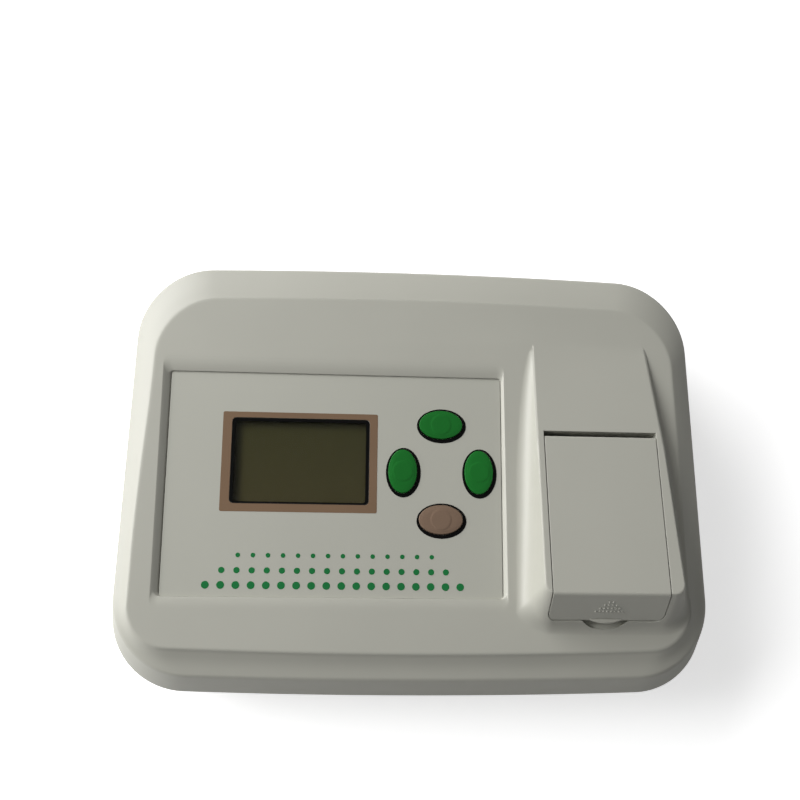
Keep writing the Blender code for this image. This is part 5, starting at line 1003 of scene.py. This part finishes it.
def make_case():
    case = place(loft("case_skin", shell_rings()))
    floor = -PLATE_THICKNESS - GAP
    pad = rounded_rectangle(
        (-SEAT_MARGIN - 2 * WALL, -SEAT_MARGIN - 2 * WALL),
        (PANEL_WIDTH + SEAT_MARGIN + 2 * WALL, PANEL_HEIGHT + SEAT_MARGIN + 2 * WALL),
        SEAT_CORNER,
    )
    cavity_rings = [
        [Vector((x, y, TURRET_TOP - drop)) for x, y in turret_outline(drop, WALL, APRON_RUN + LID_GAP)]
        for drop in (WALL, TURRET_TOP - RIM_Z - CAVITY_FOOT)
    ]
    cavity = carve(
        place(loft("cavity", cavity_rings)),
        [cut("pocket_walls", pocket_profile(WALL), "X", -HALF_DEPTH, 2 * HALF_DEPTH)],
    )
    pocket = carve(
        place(prism("pocket", pocket_profile(), "X", LID_LEFT - LID_GAP, LID_RIGHT + LID_GAP)),
        [("INTERSECT", lid_trim("pocket_trim", LID_GAP))],
    )
    below = floor - 2 * WALL
    display = display_outline(BEZEL_FRAME + GAP)
    rear_width = REAR_HALF_WIDTH + WALL
    steps = [
        ("UNION", loft("turret", turret_rings())),
        ("UNION", prism("seat_floor", pad, "Z", floor - WALL, floor + WALL / 2, PANEL_FRAME)),
        ("UNION", prism("rear_frame", rear_profile(WALL, True), "X", -rear_width, rear_width)),
        ("DIFFERENCE", cavity),
        ("DIFFERENCE", pocket),
        ("DIFFERENCE", loft("notch", notch_rings())),
        ("DIFFERENCE", loft("seat", seat_rings(), PANEL_FRAME)),
        cut("display_hole", display, "Z", below, WALL, PANEL_FRAME),
    ]
    for name, u, v, wide in key_places():
        oval = key_oval(KEY_FLANGE + KEY_CLEARANCE, wide, (u, v), HOLE_STEPS)
        steps.append(cut(f"key_hole_{name}", oval, "Z", below, WALL, PANEL_FRAME))
    deck = rounded_rectangle(
        (WELL_X - RIM_WIDTH / 2 - GAP, WELL_Y - RIM_LENGTH / 2 - GAP),
        (WELL_X + RIM_WIDTH / 2 + GAP, WELL_Y + RIM_LENGTH / 2 + GAP),
        WELL_CORNER,
    )
    low = LID_LEFT - LID_GAP - HINGE_PIN_IN_COVER - GAP
    high = LID_RIGHT + LID_GAP + HINGE_PIN_IN_COVER + GAP
    pin_hole = circle(HINGE_PIN_RADIUS + GAP, POST_STEPS, (HINGE_Y, HINGE_Z))
    steps += [
        cut("rear_cut", rear_profile(0.0, False), "X", -REAR_HALF_WIDTH, REAR_HALF_WIDTH),
        cut("deck_hole", deck, "Z", DECK_Z - 2 * WALL, DECK_Z + WALL),
        cut("pin_holes", pin_hole, "X", low, high),
    ]
    carve(case, steps)
    smooth(case)
    dress(case, "case_plastic")
    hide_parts("top_cover")


def tray_ring(inset, radius, z):
    """One level of the tray, the case's outline pulled in by inset on all sides."""
    ring = housing_ring(-HALF_DEPTH + inset, BACK_REACH - inset, inset, (radius, radius), lambda _y: RIM_Z)
    return [Vector((point.x, point.y, z)) for point in ring]


def tray_rings():
    """Inner floor, up the inside, over the lip, out to the rim and down round the underside's edge."""
    rim_z = RIM_Z - GAP
    lip_top = RIM_Z + LIP_HEIGHT
    lip_outer = WALL + GAP
    lip_draft = END_DRAFT_SHARE * LIP_HEIGHT
    inner = lip_outer + lip_draft + LIP_WALL
    radius = RIM_CORNER - inner
    low_inset = TRAY_INSET + TRAY_TAPER
    rim = tray_ring(TRAY_INSET, RIM_CORNER - TRAY_INSET, rim_z)
    low = tray_ring(low_inset, RIM_CORNER - low_inset, TRAY_BOTTOM + TRAY_EDGE)
    under = tray_ring(low_inset + TRAY_EDGE, RIM_CORNER - low_inset - TRAY_EDGE, TRAY_BOTTOM)
    field = tray_ring(low_inset + 3 * TRAY_EDGE, RIM_CORNER - low_inset - 3 * TRAY_EDGE, TRAY_BOTTOM)
    rings = [
        tray_ring(low_inset + TRAY_WALL, radius - TRAY_TAPER, TRAY_BOTTOM + TRAY_FLOOR),
        tray_ring(inner, radius, rim_z),
        tray_ring(inner, radius, lip_top),
        tray_ring(lip_outer + lip_draft, radius + LIP_WALL, lip_top),
        tray_ring(lip_outer, radius + LIP_WALL + lip_draft, rim_z),
    ]
    rings += turn_ring(rings[-1], rim, low, TRAY_RIM_TURN, 2)
    rings += turn_ring(rim, low, under, TRAY_EDGE_TURN, 5)
    rings += turn_ring(low, under, field, TRAY_EDGE_TURN, 5)
    return rings


def make_tray():
    tray = place(loft("tray_skin", tray_rings()))
    floor = TRAY_BOTTOM + TRAY_FLOOR
    foot = floor - TRAY_FLOOR / 2
    near = REAR_PANEL_Y + REAR_PANEL_THICKNESS + GAP
    top = RIM_Z - GAP
    far = BACK_REACH - TRAY_INSET - rear_bow() - TRAY_WALL / 3
    sill_block = [(near, foot), (far - TRAY_TAPER, foot), (far, top), (near, top)]
    rear_width = REAR_HALF_WIDTH + WALL
    steps = []
    for index, place_at in enumerate(SCREW_PLACES):
        boss = circle(TRAY_BOSS_RADIUS, HOLE_STEPS, place_at)
        steps.append(("UNION", prism(f"boss_{index}", boss, "Z", foot, RIM_Z + LIP_HEIGHT)))
    for index, place_at in enumerate(POST_PLACES):
        post = circle(POST_RADIUS, POST_STEPS, place_at)
        steps.append(("UNION", prism(f"post_{index}", post, "Z", foot, floor + POST_HEIGHT)))
    sill = FOOT_HEIGHT + REAR_SILL
    back = BACK_REACH + OVERRUN
    above = RIM_Z + LIP_HEIGHT + OVERRUN
    rear = box_corners((near, sill), (back, above))
    lip_y = REAR_PANEL_Y - WALL - GAP
    lip = box_corners((lip_y, RIM_Z - GAP), (back, above))
    steps += [
        ("UNION", prism("sill_block", sill_block, "X", -rear_width, rear_width)),
        cut("tray_rear", rear, "X", -REAR_HALF_WIDTH, REAR_HALF_WIDTH),
        cut("lip_rear", lip, "X", -rear_width - GAP, rear_width + GAP),
    ]
    start = FOOT_HEIGHT - OVERRUN
    for index, place_at in enumerate(SCREW_PLACES):
        wide = circle(SCREW_HEAD_BORE, HOLE_STEPS, place_at)
        narrow = circle(SCREW_BORE, BORE_STEPS, place_at)
        steps.append(cut(f"head_bore_{index}", wide, "Z", start, FOOT_HEIGHT + SCREW_SEAT))
        steps.append(cut(f"screw_bore_{index}", narrow, "Z", start, above))
    for index in range(VENT_COUNT):
        x = VENT_X + (index - (VENT_COUNT - 1) / 2) * VENT_PITCH
        low = (x - VENT_WIDTH / 2, VENT_Y - VENT_LENGTH / 2)
        high = (x + VENT_WIDTH / 2, VENT_Y + VENT_LENGTH / 2)
        outline = rounded_rectangle(low, high, VENT_WIDTH * VENT_CORNER_SHARE, VENT_CORNER_STEPS)
        steps.append(cut(f"vent_{index}", outline, "Z", start, floor + OVERRUN))
    carve(tray, steps)
    smooth(tray)
    dress(tray, "tray_plastic")
    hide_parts("base_tray")


def lid_profile():
    """Side view of the lid as (y, z) with its edges rounded."""
    top = TURRET_TOP
    under = top - LID_SLAB
    bottom = top - LID_FACE_HEIGHT

    def face_y(z):
        return LID_FRONT - FRONT_LEAN_SHARE * (top - z)

    corners = (
        (LID_BACK, top),
        (LID_FRONT, top),
        (face_y(bottom), bottom),
        (face_y(bottom) + APRON_RUN, bottom),
        (face_y(under) + APRON_RUN, under),
        (LID_BACK, under),
    )
    return rounded_outline(corners, LID_EDGE_RADII, PLAN_CORNER_STEPS)


def make_lid():
    lid = place(prism("lid_skin", lid_profile(), "X", LID_LEFT, LID_RIGHT))
    low = LID_LEFT + HINGE_BARREL_END_GAP
    high = LID_RIGHT - HINGE_BARREL_END_GAP
    barrel = circle(HINGE_BARREL_RADIUS, BARREL_STEPS, (HINGE_Y, HINGE_Z))
    bore = circle(HINGE_PIN_RADIUS + GAP, POST_STEPS, (HINGE_Y, HINGE_Z))
    left_stop = low + HINGE_PIN_IN_LID + GAP
    right_start = high - HINGE_PIN_IN_LID - GAP
    carve(
        lid,
        [
            ("INTERSECT", lid_trim("lid_trim", 0.0)),
            ("UNION", loft("lid_tab", tab_rings())),
            ("UNION", prism("lid_barrel", barrel, "X", low, high)),
            cut("bore_left", bore, "X", LID_LEFT - OVERRUN, left_stop),
            cut("bore_right", bore, "X", right_start, LID_RIGHT + OVERRUN),
        ],
    )
    smooth(lid)
    dress(lid, "case_plastic", body="chamber_lid")
    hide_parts("lid")


def make_lid_dots():
    """Rows of small raised dots on the lid's front face, fewer in each row upwards."""
    lean = math.atan(FRONT_LEAN_SHARE)
    middle = (LID_LEFT + LID_RIGHT) / 2 + LID_DOT_ASIDE
    bm = bmesh.new()
    for row, count in enumerate(LID_DOT_ROWS):
        drop = LID_DOT_DROP - row * LID_DOT_ROW_PITCH
        for index in range(count):
            x = middle + (index - (count - 1) / 2) * LID_DOT_PITCH
            spot = Matrix.Translation((x, LID_FRONT - FRONT_LEAN_SHARE * drop, TURRET_TOP - drop))
            face = Matrix.Rotation(math.pi / 2 - lean, 4, "X")
            dome = Matrix.Diagonal((LID_DOT_RADIUS, LID_DOT_RADIUS, LID_DOT_RISE, 1))
            bmesh.ops.create_uvsphere(bm, u_segments=14, v_segments=8, radius=1.0, matrix=spot @ face @ dome)
    for face in bm.faces:
        face.smooth = True
    dots = place(finish_mesh("lid_dots", bm))
    dress(dots, "case_plastic", body="chamber_lid")


def key_rings(wide):
    """Stem, flange and oval body of a key, its edge rounded and a round boss raised in its middle."""
    stop = -PLATE_THICKNESS - GAP
    flange_bottom = stop - KEY_FLANGE_THICKNESS
    stem = circle(KEY_STEM_RADIUS, KEY_STEPS)
    levels = [
        (stem, flange_bottom - KEY_STEM_LENGTH),
        (stem, flange_bottom),
        (key_oval(KEY_FLANGE, wide), flange_bottom),
        (key_oval(KEY_FLANGE, wide), stop),
        (key_oval(0, wide), stop),
    ]
    for step in range(KEY_EDGE_STEPS + 1):
        turn = math.pi / 2 * step / KEY_EDGE_STEPS
        inset = KEY_EDGE * (1 - math.cos(turn))
        levels.append((key_oval(-inset, wide), KEY_PROUD - KEY_EDGE * (1 - math.sin(turn))))
    crown = key_oval(-KEY_CROWN_INSET, wide)
    boss = circle(BOSS_RADIUS, KEY_STEPS)
    levels.append((crown, KEY_PROUD + KEY_CROWN_RISE))
    for share, rise in BOSS_FOOT_LEVELS:
        between = [(a + (c - a) * share, b + (d - b) * share) for (a, b), (c, d) in zip(crown, boss)]
        levels.append((between, KEY_PROUD + rise))
    for radius, rise in BOSS_LEVELS:
        levels.append((circle(radius, KEY_STEPS), KEY_PROUD + rise))
    return [[(u, v, w) for u, v in outline] for outline, w in levels]


def make_keys():
    for name, u, v, wide in key_places():
        here = PANEL_FRAME @ Matrix.Translation((u, v, 0))
        key = place(loft(f"key_cap_{name}", key_rings(wide), here))
        smooth(key, angle=32.0, flat_area=1.0)
        dress(key, "key_tan" if name == "bottom" else "key_green", body=f"key_{name}_body")
        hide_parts(f"key_{name}")


def joined(name, meshes):
    bm = bmesh.new()
    for mesh in meshes:
        bm.from_mesh(mesh)
        bpy.data.meshes.remove(mesh)
    return finish_mesh(name, bm)


def make_prints():
    """What is printed on the plate: dot rows, the display's frame and the keys' shadows; also the window's
    black rim, which holds painted shadow.
    """
    top = PRINT_THICKNESS
    dots = []
    for count, first, height, radius in PRINT_DOT_ROWS:
        for index in range(count):
            outline = circle(radius, PRINT_DOT_STEPS, (first + index * PRINT_DOT_PITCH, height))
            dots.append(prism("dot", outline, "Z", 0.0, top, PANEL_FRAME))
    green = place(joined("print_dots", dots))
    dress(green, PRINT_GREEN)
    inner = display_outline(0.0)
    outer = rounded_rectangle(PRINT_FRAME_LOW, PRINT_FRAME_HIGH, PRINT_FRAME_CORNER)
    tan = place(band("print_frame", outer, inner, 0.0, top, PANEL_FRAME))
    dress(tan, PRINT_TAN)
    # The window's black rim: a printed border widened at the left, right and top by painted shadow of the
    # window's edge.
    rim = band(
        "window_rim_and_shadow",
        display_outline(-GAP - WINDOW_RIM_GAP),
        rounded_rectangle(WINDOW_RIM_AND_SHADOW_LOW, WINDOW_RIM_AND_SHADOW_HIGH, WINDOW_RIM_CORNER),
        -WINDOW_SUNK,
        -WINDOW_SUNK + top,
        PANEL_FRAME,
    )
    dress(place(rim), PRINT_BLACK)
    for name, u, v, wide in key_places():
        oval = key_oval(SHADOW_GROW, wide, (u + SHADOW_ASIDE, v - SHADOW_DOWN))
        shadow = place(prism("shadow", oval, "Z", 0.0, top, PANEL_FRAME), f"print_shadow_{name}")
        hole = prism("shadow_hole", key_oval(KEY_CLEARANCE, wide, (u, v)), "Z", -top, 2 * top, PANEL_FRAME)
        carve(shadow, [("DIFFERENCE", hole)])
        dress(shadow, PRINT_BLACK)


# The studio

def make_floor():
    """Pale matt floor, lifted to white for the camera so that only the part's shadow shows on it."""
    mesh = bpy.data.meshes.new("floor")
    corners = box_corners((-FLOOR_HALF, -FLOOR_HALF), (FLOOR_HALF, FLOOR_HALF))
    mesh.from_pydata([(x, y, 0.0) for x, y in corners], [], [(0, 1, 2, 3)])
    floor = place(mesh)
    paint = moulded("floor_paint", (0.90, 0.90, 0.90), 0.9, 40.0, 0.00001, 0.006)
    nodes = paint.node_tree.nodes
    shader = nodes["Principled BSDF"]
    set_inputs(shader, Emission_Color=(1.0, 1.0, 1.0, 1))
    path = node_with(nodes, "LightPath")
    lift = node_with(nodes, "Math")
    lift.operation = "MULTIPLY"
    lift.inputs[1].default_value = FLOOR_LIFT
    links(
        paint,
        (path, "Is Camera Ray", lift, 0),
        (lift, "Value", shader, "Emission Strength"),
    )
    floor.data.materials.append(paint)


def make_world():
    """Weak even light all round; the camera, mirrors and glass see plain white."""
    world = bpy.data.worlds.new("studio")
    world.use_nodes = True
    nodes = world.node_tree.nodes
    fill = nodes["Background"]
    set_inputs(fill, Color=(1.0, 1.0, 1.0, 1), Strength=WORLD_STRENGTH)
    white = node_with(nodes, "Background", Strength=1.0)
    path = node_with(nodes, "LightPath")
    glossy, seen = (node_with(nodes, "Math") for _ in range(2))
    glossy.operation = seen.operation = "MAXIMUM"
    mix = node_with(nodes, "MixShader")
    links(
        world,
        (path, "Is Glossy Ray", glossy, 0),
        (path, "Is Transmission Ray", glossy, 1),
        (glossy, "Value", seen, 0),
        (path, "Is Camera Ray", seen, 1),
        (seen, "Value", mix, "Fac"),
        (fill, "Background", mix, 1),
        (white, "Background", mix, 2),
        (mix, "Shader", nodes["World Output"], "Surface"),
    )
    bpy.context.scene.world = world


def make_lamp(name, place_at, size, power):
    """A soft rectangular lamp that looks at the case."""
    data = bpy.data.lights.new(name, "AREA")
    data.shape = "RECTANGLE"
    data.size, data.size_y = size
    data.energy = power
    lamp = place(data)
    lamp.location = place_at
    lamp.rotation_euler = (Vector(place_at) - Vector(LAMP_AIM)).to_track_quat("Z", "Y").to_euler()


def make_camera():
    data = bpy.data.cameras.new("camera")
    data.sensor_width = CAMERA_SENSOR
    data.lens = CAMERA_LENS
    data.clip_start = CAMERA_CLIP
    camera = place(data)
    turn = Matrix()
    for angle, axis in CAMERA_TURNS:
        turn = turn @ Matrix.Rotation(angle, 4, axis)
    camera.matrix_world = Matrix.Translation(CAMERA_PLACE) @ turn
    bpy.context.scene.camera = camera


bpy.context.scene.view_settings.view_transform = "Standard"
dress_nodes()
make_case()
make_tray()
make_lid()
make_lid_dots()
make_keys()
make_prints()
make_floor()
make_world()
make_lamp("window_lamp", *WINDOW_LAMP)
make_lamp("side_lamp", *SIDE_LAMP)
make_camera()
